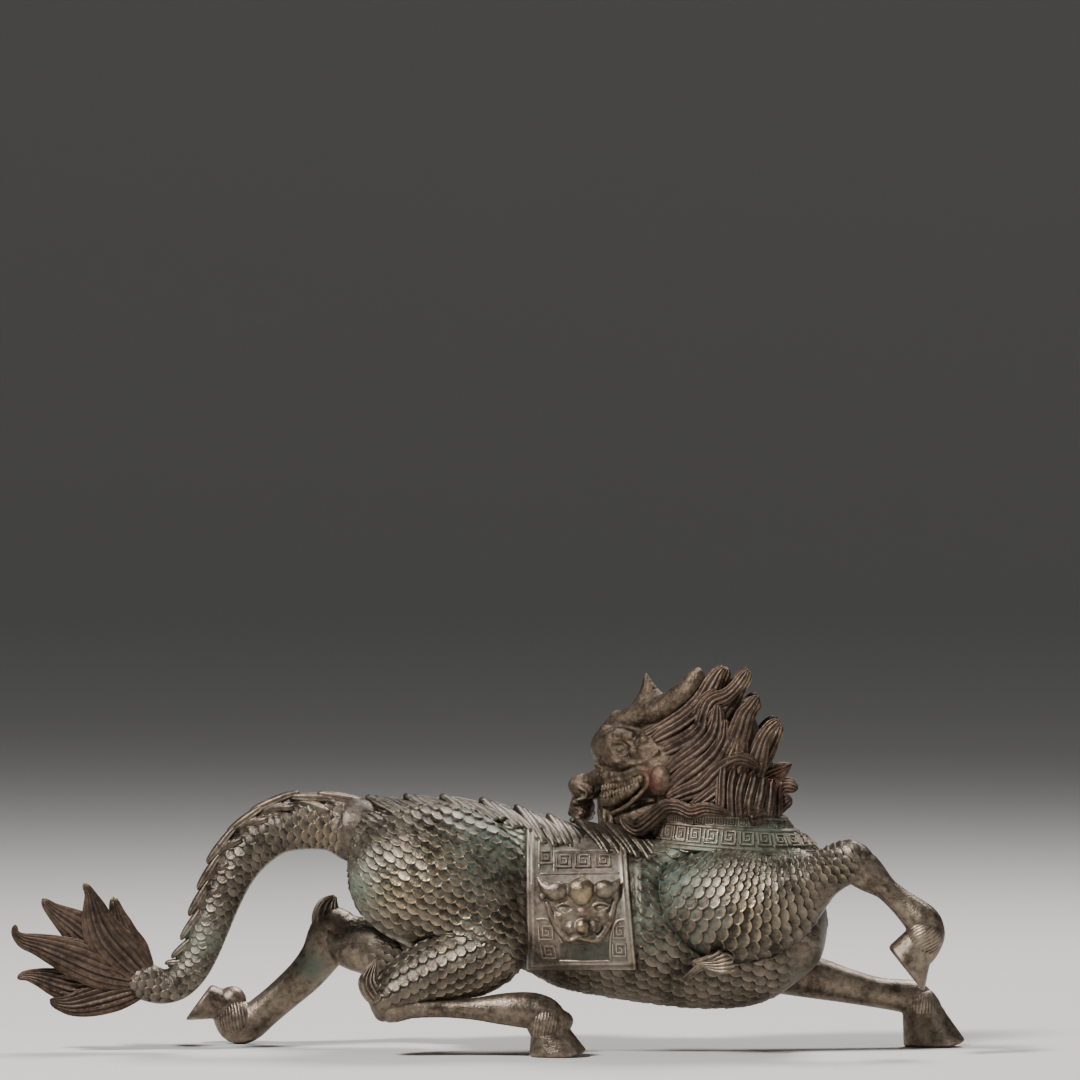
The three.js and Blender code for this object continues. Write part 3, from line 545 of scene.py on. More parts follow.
# Patches of colour: what, its place in hundredths, its reach and how strong it is
PATCHES = [
    ("green", [36.5, -6, 17.5], 4.2, 0.95), ("green", [36.6, -6, 13.5], 2.2, 0.6),
    ("green", [49.0, -6, 21.0], 5.5, 0.95), ("green", [68.6, -7, 18.6], 4.4, 1.0),
    ("green", [78.0, -5, 23.2], 5.0, 0.95), ("green", [72.0, -7, 20.6], 3.5, 0.8),
    ("green", [20.5, 0, 11.0], 3.6, 0.8), ("green", [18.2, 0, 8.0], 2.2, 0.7),
    ("green", [31.0, 9, 8.4], 1.8, 1.0), ("green", [89.5, -8, 17.6], 1.8, 0.6),
    ("green", [56.0, -7, 21.0], 3.4, 0.5), ("green", [66.0, -7, 15.0], 4.5, 0.65),
    ("green", [72.0, -8, 12.5], 4.0, 0.55), ("green", [47.5, -8, 13.0], 3.0, 0.5),
    ("green", [62.0, -8, 11.0], 4.0, 0.5), ("green", [44.0, -8, 9.5], 2.5, 0.4),
    ("green", [45.0, 6, 18.0], 6.0, 0.5), ("green", [72.0, 6, 17.0], 6.0, 0.5),
    ("gold", [40.6, -9, 17.2], 2.8, 0.9), ("gold", [43.8, -9, 19.0], 3.6, 0.6),
    ("gold", [76.5, -9, 15.6], 3.8, 0.5), ("gold", [46.0, -9, 14.5], 4.5, 0.4),
    ("gold", [94.0, -9, 14.8], 2.0, 0.9), ("gold", [92.0, -9, 10.5], 2.0, 0.6),
    ("gold", [57.0, -9, 3.5], 3.0, 0.6), ("gold", [97.0, 7, 3.0], 3.0, 0.5),
    ("gold", [59.5, -9, 16.8], 3.4, 0.9), ("gold", [59.5, -9, 13.2], 1.8, 0.9),
    ("gold", [70.6, 1, 39.6], 1.5, 1.2), ("gold", [33.0, 0, 23.0], 3.0, 0.6),
    ("gold", [84.0, -8, 19.0], 3.0, 0.35), ("gold", [10.5, 1, 16.0], 1.0, 0.9),
    ("gold", [7.5, -1, 17.3], 1.0, 0.9), ("gold", [3.2, 0, 15.8], 1.0, 0.9),
    ("gold", [50.0, -9, 12.0], 3.0, 0.4), ("gold", [46.5, -8, 5.0], 4.0, 0.35),
    ("red", [59.8, -9, 14.9], 1.1, 1.0), ("red", [66.8, -4, 28.4], 2.0, 0.9),
    ("red", [57.4, -9, 15.0], 0.8, 0.7), ("red", [77.0, -3, 34.0], 2.5, 0.6),
    ("red", [80.0, -3, 28.5], 2.2, 0.7), ("red", [71.0, -7, 25.2], 2.4, 0.5),
    ("gold", [77.0, -3, 38.5], 2.2, 0.9), ("gold", [79.5, -3, 34.0], 2.0, 0.9),
    ("gold", [74.3, -2, 39.5], 1.8, 0.8), ("gold", [81.0, -2, 28.5], 1.6, 0.9),
    ("gold", [77.6, -4, 35.8], 1.8, 0.8), ("red", [59.5, -9, 14.6], 3.2, 0.4),
    ("red", [73.0, -4, 38.5], 2.4, 0.45), ("red", [35.8, -6, 21.3], 0.8, 0.7),
    ("red", [66.2, -4, 32.2], 1.6, 0.45),
]


def paint(points):
    """Strength of each colour patch at points in mm."""
    spots = points / PERCENT + MIDDLE
    out = {}
    for kind in ("green", "gold", "red"):
        total = np.zeros(len(points))
        for what, middle, reach, strength in PATCHES:
            if what == kind:
                far = ((spots - middle) ** 2).sum(1) / reach ** 2
                total = np.maximum(total, strength * np.exp(-far))
        out[kind] = total
    return out


def hollow_and_proud(clay, points, normals, reach):
    """How hollow and how proud the surface is at each point, which the materials turn into painted shade and
    painted highlight.
    """
    hollow = 1 - clay.sample(points + normals * reach) / reach
    proud = 1 + clay.sample(points - normals * reach) / reach
    return {"hollow": np.clip(hollow, 0, 1), "proud": np.clip(proud, 0, 1)}


def ramp(x, low, high):
    t = np.clip((x - low) / (high - low), 0, 1)
    return t * t * (3 - 2 * t)


def srgb(code):
    """A colour written as sRGB hex becomes linear."""
    parts = [int(code[i:i + 2], 16) / 255 for i in (1, 3, 5)]
    return [p / 12.92 if p <= 0.04045 else ((p + 0.055) / 1.055) ** 2.4 for p in parts] + [1.0]


# Noise of the patina: the size of its spots in mm, its detail and its roughness
PATINA = {"broad": (9, 5.0, 0.6), "mottle": (1.6, 4.0, 0.65), "grit": (0.4, 2.0, 0.6)}
BLOOM_COLOUR = "#5f6e60"
STAIN_COLOUR = "#7d4a3f"
# How low and how high each point lies, its tone from dark to light, and how far it has bloomed, is rubbed and
# is stained with red. What lies low, with the gap under each free edge, gets dark patina and painted shade;
# what stands proud, with the rim of each scale, is lighter in tone and rubbed paler, partly as a painted
# highlight.
TONE_SUMS = [
    "low_root = 0.72 - height", "low_more =! low_root * 1.5", "low_sq = low_more * low_more",
    "low_scale = low_sq max groove", "low = low_scale * scaly", "high_one = height - 0.5",
    "high_two =! high_one * 3", "high_rim = high_two max rim", "high_scale = high_rim * scaly",
    "pit =! low max hollow", "pit_part = pit * 0.94", "crown = high_scale max proud",
    "tone_one = mottle + broad", "tone_two = crown * 0.22 + tone_one", "tone =! tone_two * 1.9 + -1.5",
    "bloom_a = pit * 0.15 + green", "bloom_b = mottle * 1.3 + bloom_a", "bloom_c = broad * 1 + bloom_b",
    "bloom_d = crown * -0.35 + bloom_c", "bloom_e = bloom_d - 1.38", "bloom =! bloom_e * 1",
    "rub_a = crown * 0.62 + gold", "rub_b = mottle * 1.2 + rub_a", "rub_c = pit * -0.9 + rub_b",
    "rub_d = rub_c - 1.22", "rub =! rub_d * 1.3", "stain_a = mottle * 1.1 + red",
    "stain_b = stain_a - 0.95", "stain =! stain_b * 1.3",
]
# Each scale's own tone and tilt, then roughness, metal and the height of the finest relief
FEEL_SUMS = [
    "each_mid = each - 0.5", "each_on = each_mid * scaly", "tone_each =! each_on * 0.45 + tone",
    "rough_a = pit * 0.3 + rough_least", "rough_b = bloom * 0.2 + rough_a",
    "rough_c = rub * -0.1 + rough_b", "rough =! mottle * 0.24 + rough_c", "metal_a = bloom * -0.5 + 0.82",
    "metal_b = pit * -0.45 + metal_a", "metal =! rub * 0.25 + metal_b", "aside_step = next_aside - aside",
    "aside_here = aside_step * out + aside", "tilt = each_mid * aside_here", "tilted = tilt * 0.9 + height",
    "bump_rim = rim * 0.12 + tilted", "bump_scale = bump_rim * scaly",
    "bump_grit = grit * grain + bump_scale", "bump_mottle = mottle * 0.4 + bump_grit",
]


def aged_bronze(name, dark, light, hollow, worn, scale=None, rough=0.42, grain=0.3):
    """Cast bronze under an old brown patina: dull and dark in the hollows, where shade is painted in as well,
    grey green where it has bloomed, and rubbed to a paler, smoother metal on what stands proud, which catches
    the light;
    that paler metal and the rim of each scale also carry a painted highlight."""
    material = bpy.data.materials.new(name)
    material.use_nodes = True
    tree = material.node_tree
    tree.nodes.clear()
    where = node(tree, "ShaderNodeTexCoord").outputs["Object"]
    known = {**SCALE_FORM, "grain": grain, "rough_least": rough - 0.12}
    for key, (size, detail, roughness) in PATINA.items():
        known[key] = node(tree, "ShaderNodeTexNoise", {
            "Vector": where, "Scale": 1 / (size * MM), "Detail": detail, "Roughness": roughness})
    for key in ("along", "across", "scaly", "hollow", "proud", "green", "gold", "red"):
        known[key] = node(tree, "ShaderNodeAttribute", attribute_name=key).outputs["Fac"]
    for key, value in (scale or SCALE).items():
        known["deep" if key == "groove" else key] = value
    known = work_out(tree, known, SCALE_SUMS + TONE_SUMS)
    seat = node(tree, "ShaderNodeCombineXYZ", {"X": known["row_here"], "Y": known["column_here"]})
    scatter = node(tree, "ShaderNodeTexWhiteNoise", {"Vector": seat}, noise_dimensions="3D")
    known["each"] = scatter.outputs["Value"]
    known = work_out(tree, known, FEEL_SUMS)
    colour = node(tree, "ShaderNodeMix", {0: known["tone_each"], 6: srgb(dark), 7: srgb(light)},
                  data_type="RGBA")
    # Hollow colour: dark patina with painted shade. Rubbed colour: paler metal with a painted highlight.
    for amount, code in (("pit_part", hollow), ("bloom", BLOOM_COLOUR), ("rub", worn),
                         ("stain", STAIN_COLOUR)):
        colour = node(tree, "ShaderNodeMix", {0: known[amount], 6: colour.outputs[2], 7: srgb(code)},
                      data_type="RGBA")
    bump = node(tree, "ShaderNodeBump", {
        "Strength": 0.7, "Distance": 0.4 * MM, "Height": known["bump_mottle"]})
    shader = node(tree, "ShaderNodeBsdfPrincipled", {
        "Base Color": colour.outputs[2], "Metallic": known["metal"], "Roughness": known["rough"],
        "Normal": bump})
    node(tree, "ShaderNodeOutputMaterial", {"Surface": shader})
    return material


# Colours of each: dark and light tone, then dark patina with painted shade for the hollows, then paler rubbed
# metal with a painted highlight for what stands proud
SKIN_BRONZE = aged_bronze("cast_bronze_scaled_patinated", "#393229", "#7c7163", "#0f0c09", "#c4b08a",
                          rough=0.38)
TAIL_BRONZE = aged_bronze("cast_bronze_tail_patinated", "#37302a", "#786d60", "#0f0c09", "#b9a27a",
                          TAIL_SCALE, 0.4)
LEG_BRONZE = aged_bronze("cast_bronze_smooth_worn", "#4a4036", "#988877", "#1c1712", "#bda67d", rough=0.37)
CLOTH_BRONZE = aged_bronze("cast_bronze_chased_worn", "#675c50", "#b7a999", "#231d17", "#c4ae86", rough=0.4)
HAIR_BRONZE = aged_bronze("cast_bronze_hair_brown", "#30241d", "#6d5a4c", "#0c0806", "#b39d80", rough=0.42,
                          grain=0.5)
HEAD_BRONZE = aged_bronze("cast_bronze_head_granular", "#3d3229", "#7f6e5c", "#1c150f", "#b7a37f",
                          rough=0.46, grain=0.8)


def finish_piece(thing, material=None):
    if material is not None:
        thing.data.materials.clear()
        thing.data.materials.append(material)
    thing.data.shade_smooth()
    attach(thing, "root")
    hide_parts("qilin")


def cast(name, points, faces, values, material, most=None, scale=SCALE):
    """A finished piece from points in mm, with its relief raised if its number of triangles is given."""
    thing = show(name, to_mesh(name, points, faces, values))
    if most:
        raise_relief(thing, scale, material, most)
        material = None
    finish_piece(thing, material)


def surface(clay, reach=1.6, low=None, high=None):
    """A block of clay's skin as points and faces, with their normals, how hollow and proud it is for painted
    shade and highlight, and patches of colour.
    """
    points, faces = clay.skin(low, high)
    normals = normals_of(points, faces)
    return points, faces, normals, {**hollow_and_proud(clay, points, normals, reach), **paint(points)}


def torso_at(along):
    """The middle height and the half sizes of the trunk at places along, all in hundredths."""
    table = smooth(TORSO, 8)
    order = np.argsort(table[:, 0])
    return [np.interp(along, table[order, 0], table[order, i]) for i in (2, 3, 4)]


def neck_at(up):
    """The middle of the neck along the figure and its half sizes across and along, at a height."""
    table = smooth(NECK, 8)
    return [np.interp(up, table[:, 2], table[:, i]) for i in (0, 3, 4)]


# The corners of the block of clay for the body, and where it is parted in two pieces, under the cloth
BODY_BLOCK = [[32.5, -13.5, -1.0], [91.0, 13.5, 41.0]]
BODY_SEAM = 58.0
# Creases where the shoulders and the shins lie on the trunk: how deep and how wide they are, in mm
CREASES = {"shoulder": [1.15, 0.9], "shin": [0.8, 0.8]}
# Scales of the trunk before and behind the middle of the cloth: their slant in degrees, and how many times
# closer they lie in length and in width
TRUNK_SCALES = {"front": [28, 1.02, 0.94], "rear": [17, 1.14, 1.12]}
# Scales of the shins: the radius that they are laid round, in hundredths, and how many times closer they lie
SHIN_SCALES = [3.9, 1.26]


def body_forms():
    """Blocks of clay: the trunk with the haunches, the shins, the shoulders with the arms, the whole body."""
    low, high = place(BODY_BLOCK)
    trunk, shins, arms, whole = (Clay(low, high, GRAIN["body"]) for _ in range(4))
    trunk.sweep(TORSO, 0)
    trunk.sweep(NECK, 2, 5.0)
    for row in HAUNCHES:
        trunk.egg(row, 1.6)
    for rows in THIGHS:
        trunk.tube(rows, 1.6)
    spine = [[along, 0, float(torso_at(along)[0] + torso_at(along)[2]) - 0.3, 1.7, 0.8]
             for along in range(37, 67, 2)]
    trunk.tube(spine, 1.2)
    for rows in SHINS:
        shins.tube(rows)
    for row in SHOULDERS:
        arms.egg(row)
    for rows in ARMS:
        arms.tube(rows, 1.3)
    whole.join(trunk)
    whole.join(shins, 1.6)
    whole.join(arms, 0.8)
    along = whole.window(low - 1, high + 1)[1][0] / PERCENT + MIDDLE[0]
    behind = 0.25 + 0.75 * (1 - ramp(along, 69, 76))
    near = 1 - ramp(trunk.far, 2.5, 4.5)
    deep, wide = CREASES["shoulder"]
    crease = near * behind * deep * np.exp(-((arms.far - trunk.far) / wide) ** 2)
    whole.far += crease.astype(np.float32)
    fold = near * (1 - ramp(along, 42, 46))
    deep, wide = CREASES["shin"]
    crease = fold * deep * np.exp(-((shins.far - trunk.far) / wide) ** 2)
    whole.far += crease.astype(np.float32)
    return trunk, shins, arms, whole


def body_directions(points, trunk, shins, arms):
    """Directions for the scales, where along is toward their free edges: down and toward the tail on the
    trunk, down on the shins, and forward and then up toward the knee on the shoulders."""
    along, across, up = (points / PERCENT + MIDDLE).T
    far = np.array([form.sample(points) for form in (trunk, shins, arms)])
    nearest = far.argmin(0)
    middle, wide, high = torso_at(along)
    chord = np.hypot(middle - up, np.maximum(wide - np.abs(across), 0))
    run = np.sign(middle - up) * (wide + high) * np.arcsin(np.clip(chord / (wide + high), 0, 1))
    front = along > 59
    slant, long, wide = (np.where(front, *pair) for pair in zip(TRUNK_SCALES["front"], TRUNK_SCALES["rear"]))
    slant = np.radians(slant)
    ways = [[long * (run * np.cos(slant) - along * np.sin(slant)),
             wide * (along * np.cos(slant) + run * np.sin(slant))]]
    shin = np.zeros((2, len(points)))
    for side, sign in (("right", -1), ("left", 1)):
        (u0, v0), (u1, v1), out = SHIN_LINES[side]
        ahead = unit(np.array([u1 - u0, v1 - v0]))
        step = (along - u0) * ahead[0] + (up - v0) * ahead[1]
        drop = (along - u0) * -ahead[1] + (up - v0) * ahead[0]
        angle = np.arctan2(drop, across * sign - out)
        mine = across * sign > 0
        shin[:, mine] = np.array([SHIN_SCALES[0] * angle, SHIN_SCALES[1] * step])[:, mine]
    ways.append(shin)
    turn = SHOULDER_TURN
    back, down = turn["along"] - along, turn["up"] - up
    away = np.maximum(np.hypot(back, down), 1.0)
    outward = np.where(away < turn["true"], turn["true"] * np.log(away / turn["true"]), away - turn["true"])
    ways.append([turn["long"] * turn["true"] * np.arctan2(down, back), outward])
    ways = np.array([np.array(way) for way in ways]) * PERCENT
    each = np.arange(len(points))
    apart = ramp(far[0], 2.5, 4.5)
    clear = np.minimum(np.maximum(ramp(np.abs(far[2] - far[0]), 0.05, 0.5), apart),
                       np.max([ramp(np.abs(far[1] - far[0]), 0.05, 0.45), ramp(along, 42, 46), apart],
                              axis=0))
    return {"along": ways[nearest, 0, each], "across": ways[nearest, 1, each]}, clear


def scaled_share(points):
    """How far the body is scaled at points: it is bare under the cloth, crest and mane, and on the shins."""
    along, across, up = (points / PERCENT + MIDDLE).T
    cloth = ramp(along, 53.0, 53.9) * (1 - ramp(along, 64.9, 65.5)) * ramp(up, 8.4, 9.2)
    crest = (1 - ramp(np.abs(across), 0.8, 1.6)) * ramp(up, 20, 21.5)
    mane = ramp(up, 22.6, 23.4) * ramp(along, 65, 66)
    knee = ramp(along, 87.0, 88.6) * ramp(up, 12, 13)
    far_fore = ramp(along, 79.5, 82.0) * (1 - ramp(up, 10.5, 12.5))
    far_hind = ramp(across, 5.5, 6.5) * (1 - ramp(up, 12, 14)) * (1 - ramp(along, 46, 48))
    hock = (1 - ramp(up, 4.6, 6.2)) * (1 - ramp(along, 44, 47)) * (1 - ramp(across, 0, 2))
    chest = ramp(along, 82.6, 84.4) * (1 - ramp(up, 17, 19)) * ramp(up, 10, 11)
    bare = np.max([cloth, crest, mane, knee, far_fore, far_hind, hock, chest], axis=0)
    return 1 - bare


def make_body():
    """The scaled body in two pieces."""
    trunk, shins, arms, whole = body_forms()
    seam = place([BODY_SEAM, 0, 0])[0]
    for name, low, high in (("body_rear", None, seam + GRAIN["body"]), ("body_front", seam, None)):
        points, faces, _, values = surface(whole, low=low, high=high)
        ways, clear = body_directions(points, trunk, shins, arms)
        # Creases where the shoulders and shins meet the trunk lose their scales and are painted dark as their
        # shadow
        values["hollow"] = np.maximum(values["hollow"], 0.85 * (1 - clear))
        values = {**values, **ways, "scaly": scaled_share(points) * clear}
        cast(name, points, faces, values, SKIN_BRONZE, MOST["body"])


# The smooth ring where the tail leaves the body
TAIL_RING = [[36.6, 0, 22.9, 3.3, 3.5], [35.6, 0, 23.1, 3.15, 3.3], [34.7, 0, 23.2, 2.7, 2.85]]


def make_tail():
    """The scaled tail, bare along its outer line, where the crest lies."""
    table = smooth(TAIL, 6)
    path = place(table[:, :3])
    reach = 3.4 * PERCENT + MARGIN
    clay = Clay(path.min(0) - reach, path.max(0) + reach, GRAIN["tail"])
    clay.tube(TAIL, 0.0, steps=6)
    clay.tube(TAIL_RING, 0.8)
    points, faces, _, values = surface(clay)
    ahead, side, over = frames(path, ACROSS)
    run = np.concatenate([[0], np.cumsum(np.linalg.norm(np.diff(path, axis=0), axis=1))])
    along = np.zeros(len(points))
    angle = np.zeros(len(points))
    for part in np.array_split(np.arange(len(points)), 40):
        near = ((points[part][:, None] - path[None]) ** 2).sum(2).argmin(1)
        rel = points[part] - path[near]
        along[part] = run[near] + (rel * ahead[near]).sum(1)
        angle[part] = np.arctan2((rel * side[near]).sum(1), (rel * over[near]).sum(1))
    bare = ramp((points / PERCENT + MIDDLE)[:, 0], 34.0, 34.8)
    outer = 1 - ramp(np.abs(angle), 0.25, 0.5)
    values["along"] = along
    values["across"] = angle / math.tau * TAIL_COLUMNS * TAIL_SCALE["wide"]
    values["scaly"] = (1 - bare) * (1 - outer)
    cast("tail", points, faces, values, TAIL_BRONZE, MOST["tail"], TAIL_SCALE)


def make_leg(name):
    """The bare lower part of a leg with its hoof."""
    rows, hoof = LEGS[name], HOOVES[name]
    spots = place(np.array(rows)[:, :3])
    reach = 4.5 * PERCENT
    sole = place(hoof[0])
    clay = Clay(np.minimum(spots.min(0), sole) - reach, np.maximum(spots.max(0), sole) + reach, GRAIN["leg"])
    clay.tube(rows, 0.6, steps=4)
    if name in KNOBS:
        clay.egg(KNOBS[name], 0.5)
    clay.hoof(hoof)
    _, (_, _, up) = clay.window([-LENGTH] * 3, [LENGTH] * 3)
    clay.far = np.maximum(clay.far, -up)
    points, faces, _, values = surface(clay)
    cast(name, points, faces, values, LEG_BRONZE, MOST["leg"])


def make_feathers():
    """A ring of slanting locks of hair over each fetlock."""
    parts = []
    for middle, radius, down in FEATHERS.values():
        down = unit(np.array([down[0], 0, down[1]]))
        front = np.cross(ACROSS, down)
        for turn in np.arange(FEATHER_LOCKS) / FEATHER_LOCKS * math.tau:
            rows = []
            for drop, out, half in FEATHER_ROWS:
                angle = turn + FEATHER_SLANT * drop
                outward = math.cos(angle) * front + math.sin(angle) * ACROSS
                spot = middle + radius * (down * drop + out * outward)
                rows.append([*spot, 0.6 * half * radius, half * radius])
            outward = math.cos(turn) * front + math.sin(turn) * ACROSS
            parts.append(ridged_loft(rows, ridges=3, depth=0.12, sides=12, steps=3, across=outward))
    make_locks("fetlock_hair", parts, LEG_BRONZE)


def ridged_loft(rows, ridges=6, depth=0.13, sides=42, steps=5, at=place, across=ACROSS, blunt=0.0, edge=0.0):
    """A closed lock whose ridges follow its length, as points, triangles and how deep each point lies in a
    groove. Its end may be rounded over a share of the length, and its edges may count as grooves."""
    table = smooth(rows, steps)
    path = at(table[:, :3])
    _, side, over = frames(path, across)
    angle = np.arange(sides) / sides * math.tau
    wave = np.cos(angle * ridges)
    pull = 1 + depth * np.where(wave > 0, wave * 0.6, wave)
    halves = np.maximum(table[:, 3:5], 0.06) * PERCENT
    if blunt:
        run = np.concatenate([[0], np.cumsum(np.linalg.norm(np.diff(path, axis=0), axis=1))])
        near = np.clip((run[-1] - run) / (blunt * run[-1]), 0, 1)
        halves = halves * np.sqrt(np.clip(1 - (1 - near) ** 2, 0.01, 1))[:, None]
    ring = (side[:, None] * (np.cos(angle) * pull)[None, :, None] * halves[:, :1, None]
            + over[:, None] * (np.sin(angle) * pull)[None, :, None] * halves[:, 1:, None])
    points = (path[:, None] + ring).reshape(-1, 3)
    n = len(path)
    i, j = np.meshgrid(np.arange(n - 1), np.arange(sides), indexing="ij")
    k = (j + 1) % sides
    a, b, c, d = (x.ravel() for x in (i * sides + j, i * sides + k, (i + 1) * sides + k, (i + 1) * sides + j))
    faces = np.vstack([np.stack([a, b, c], 1), np.stack([a, c, d], 1)])
    foot, tip = len(points), len(points) + 1
    points = np.vstack([points, path[:1], path[-1:]])
    j = np.arange(sides)
    k = (j + 1) % sides
    last = (n - 1) * sides
    faces = np.vstack([faces, np.stack([k, j, np.full(sides, foot)], 1),
                       np.stack([last + j, last + k, np.full(sides, tip)], 1)])
    groove = np.concatenate([np.tile(np.maximum(0.5 - 0.5 * wave, edge * np.abs(np.cos(angle)) ** 6), n),
                             [0, 0]])
    return points, faces, groove


def gather(parts):
    """Several lofts as one mesh's points, faces and grooves."""
    points, faces, grooves, start = [], [], [], 0
    for p, f, g in parts:
        points.append(p)
        faces.append(f + start)
        grooves.append(g)
        start += len(p)
    return np.vstack(points), np.vstack(faces), np.concatenate(grooves)


# The share of the green bloom that is left on dark hair
HAIR_GREEN = 0.3


def make_locks(name, parts, material):
    """A piece of hair from its lofts, with painted shade in the grooves and the ridges rubbed paler with a
    painted highlight, kept above the ground.
    """
    points, faces, groove = gather(parts)
    points[:, 2] = np.maximum(points[:, 2], 0)
    values = {"hollow": ramp(groove, 0.55, 1.0) * 0.85, "proud": ramp(1 - groove, 0.7, 1.0) * 0.6,
              **paint(points)}
    if material is HAIR_BRONZE:
        values["green"] = values["green"] * HAIR_GREEN
    cast(name, points, faces, values, material)


# Tongues of the tail tuft, from the root to the hooked tip: a place, half depth and half width in each row
TUFT = [
    [[14.38, 0.0, 7.29, 0.26, 0.52], [13.65, 0.45, 7.99, 0.47, 0.94], [12.29, 0.9, 9.84, 0.62, 1.25],
     [11.46, 0.9, 11.61, 0.62, 1.25], [11.15, 0.9, 13.17, 0.47, 0.94], [10.83, 0.9, 14.63, 0.29, 0.57],
     [10.52, 0.9, 16.09, 0.04, 0.08]],
    [[14.38, -0.0, 7.29, 0.26, 0.52], [13.65, -0.45, 7.84, 0.47, 0.94], [11.67, -0.9, 9.74, 0.65, 1.3],
     [9.9, -0.9, 11.72, 0.7, 1.41], [8.96, -0.9, 13.7, 0.57, 1.15], [8.54, -0.9, 15.27, 0.42, 0.83],
     [8.12, -0.9, 16.62, 0.21, 0.42], [7.5, -0.9, 17.56, 0.04, 0.08]],
    [[14.38, 0.0, 7.29, 0.26, 0.52], [13.65, 0.4, 7.58, 0.47, 0.94], [10.94, 0.8, 9.32, 0.65, 1.3],
     [8.65, 0.8, 11.3, 0.7, 1.41], [6.77, 0.8, 12.87, 0.62, 1.25], [5.31, 0.8, 13.91, 0.47, 0.94],
     [4.06, 0.8, 14.85, 0.29, 0.57], [3.12, 0.8, 15.89, 0.04, 0.08]],
    [[14.38, -0.0, 7.29, 0.26, 0.52], [13.65, -0.4, 7.53, 0.42, 0.83], [9.9, -0.8, 8.49, 0.6, 1.2],
     [6.98, -0.8, 9.63, 0.65, 1.3], [4.58, -0.8, 10.57, 0.55, 1.09], [2.71, -0.8, 11.2, 0.42, 0.83],
     [1.25, -0.8, 11.61, 0.31, 0.62], [0.42, -0.8, 12.34, 0.18, 0.36], [0.42, -0.8, 13.28, 0.04, 0.08]],
    [[14.38, 0.0, 7.19, 0.26, 0.52], [13.65, 0.3, 7.06, 0.39, 0.78], [9.9, 0.6, 6.52, 0.57, 1.15],
     [6.98, 0.6, 6.63, 0.6, 1.2], [4.69, 0.6, 7.15, 0.52, 1.04], [2.92, 0.6, 7.67, 0.36, 0.73],
     [1.46, 0.6, 7.88, 0.21, 0.42], [0.52, 0.6, 7.57, 0.04, 0.08]],
    [[14.38, -0.0, 7.08, 0.26, 0.52], [13.33, -0.2, 6.68, 0.36, 0.73], [11.04, -0.4, 6.07, 0.49, 0.99],
     [8.44, -0.4, 5.34, 0.52, 1.04], [6.35, -0.4, 4.92, 0.42, 0.83], [4.9, -0.4, 5.03, 0.26, 0.52],
     [3.96, -0.4, 5.44, 0.04, 0.08]],
]
# How much wider the tongues are than their rows, from root to tip
TUFT_FULLER = [1.2, 1.45, 1.6, 1.45, 1.35, 1.25, 1.2, 1.1, 1.0]
# The least half depth and half width of a tongue, at its round end
TUFT_LEAST = [0.24, 0.38]


def make_tuft():
    """The fan of tongues at the end of the tail."""
    parts = []
    for rows in TUFT:
        rows = [[*row[:3], max(row[3], TUFT_LEAST[0]), max(row[4] * full, TUFT_LEAST[1])]
                for row, full in zip(rows, TUFT_FULLER)]
        parts.append(ridged_loft(rows, ridges=15, depth=0.2, sides=105, steps=4, blunt=0.06))
    make_locks("tail_tuft", parts, HAIR_BRONZE)


# The middle strand of a crest leaf with a run of 4.1: a place ahead of its tip, then half sizes
LEAF_RUN = 4.1
LEAF_MIDDLE = [
    [0, 0, 0.75, 0.12, 0.12], [0.4, 0, 0.8, 0.45, 0.3], [1.4, 0, 0.62, 0.7, 0.45], [2.8, 0, 0.35, 0.8, 0.5],
    [4.4, 0, 0.05, 0.7, 0.4], [5.6, 0, -0.35, 0.4, 0.2],
]
# Leaves of the back: the half sizes of the back, the run of a leaf, how far its strands sweep ahead as they
# fall, how far round they end in degrees, how many a side, their half width and the height of the hump
BACK_LEAF = {
    "back": {"across": 7.6, "up": 7.9, "run": 4.1, "sweep": 3.2, "end": 28, "count": 5, "half": 0.58,
             "hump": 0.92},
    "saddle": {"across": 7.55, "up": 8.4, "run": 3.6, "sweep": 3.0, "end": 37, "count": 6, "half": 0.52,
               "hump": 0.75},
}
# Leaves of the tail: its radius, how far round their side strands end in degrees, their length and width
TAIL_LEAF = {"round": 2.3, "ends": [24, 44, 60], "long": 0.95, "wide": 0.42}
# Where the tips of the leaves stand along the back, and the lift of the leaves that lie over the cloth
BACK_LEAVES = {"back": [36.9, 40.8, 44.5, 48.5], "saddle": [52.1, 55.4, 58.6, 61.6, 64.6]}
OVER_CLOTH = 0.32
# The first and last tail leaf, in mm along the tail, and their number
TAIL_LEAVES = [17.0, 81.0, 10]
AHEAD = np.array([1.0, 0.0, 0.0])


def leaf_mesh(parts):
    points, faces, groove = gather(parts)
    # Painted shade in the grooves of the leaves and a painted highlight on their ridges
    values = {"hollow": ramp(groove, 0.5, 1.0) * 0.8, "proud": ramp(1 - groove, 0.7, 1.0) * 0.6}
    return to_mesh("crest_leaf", points, faces, values)


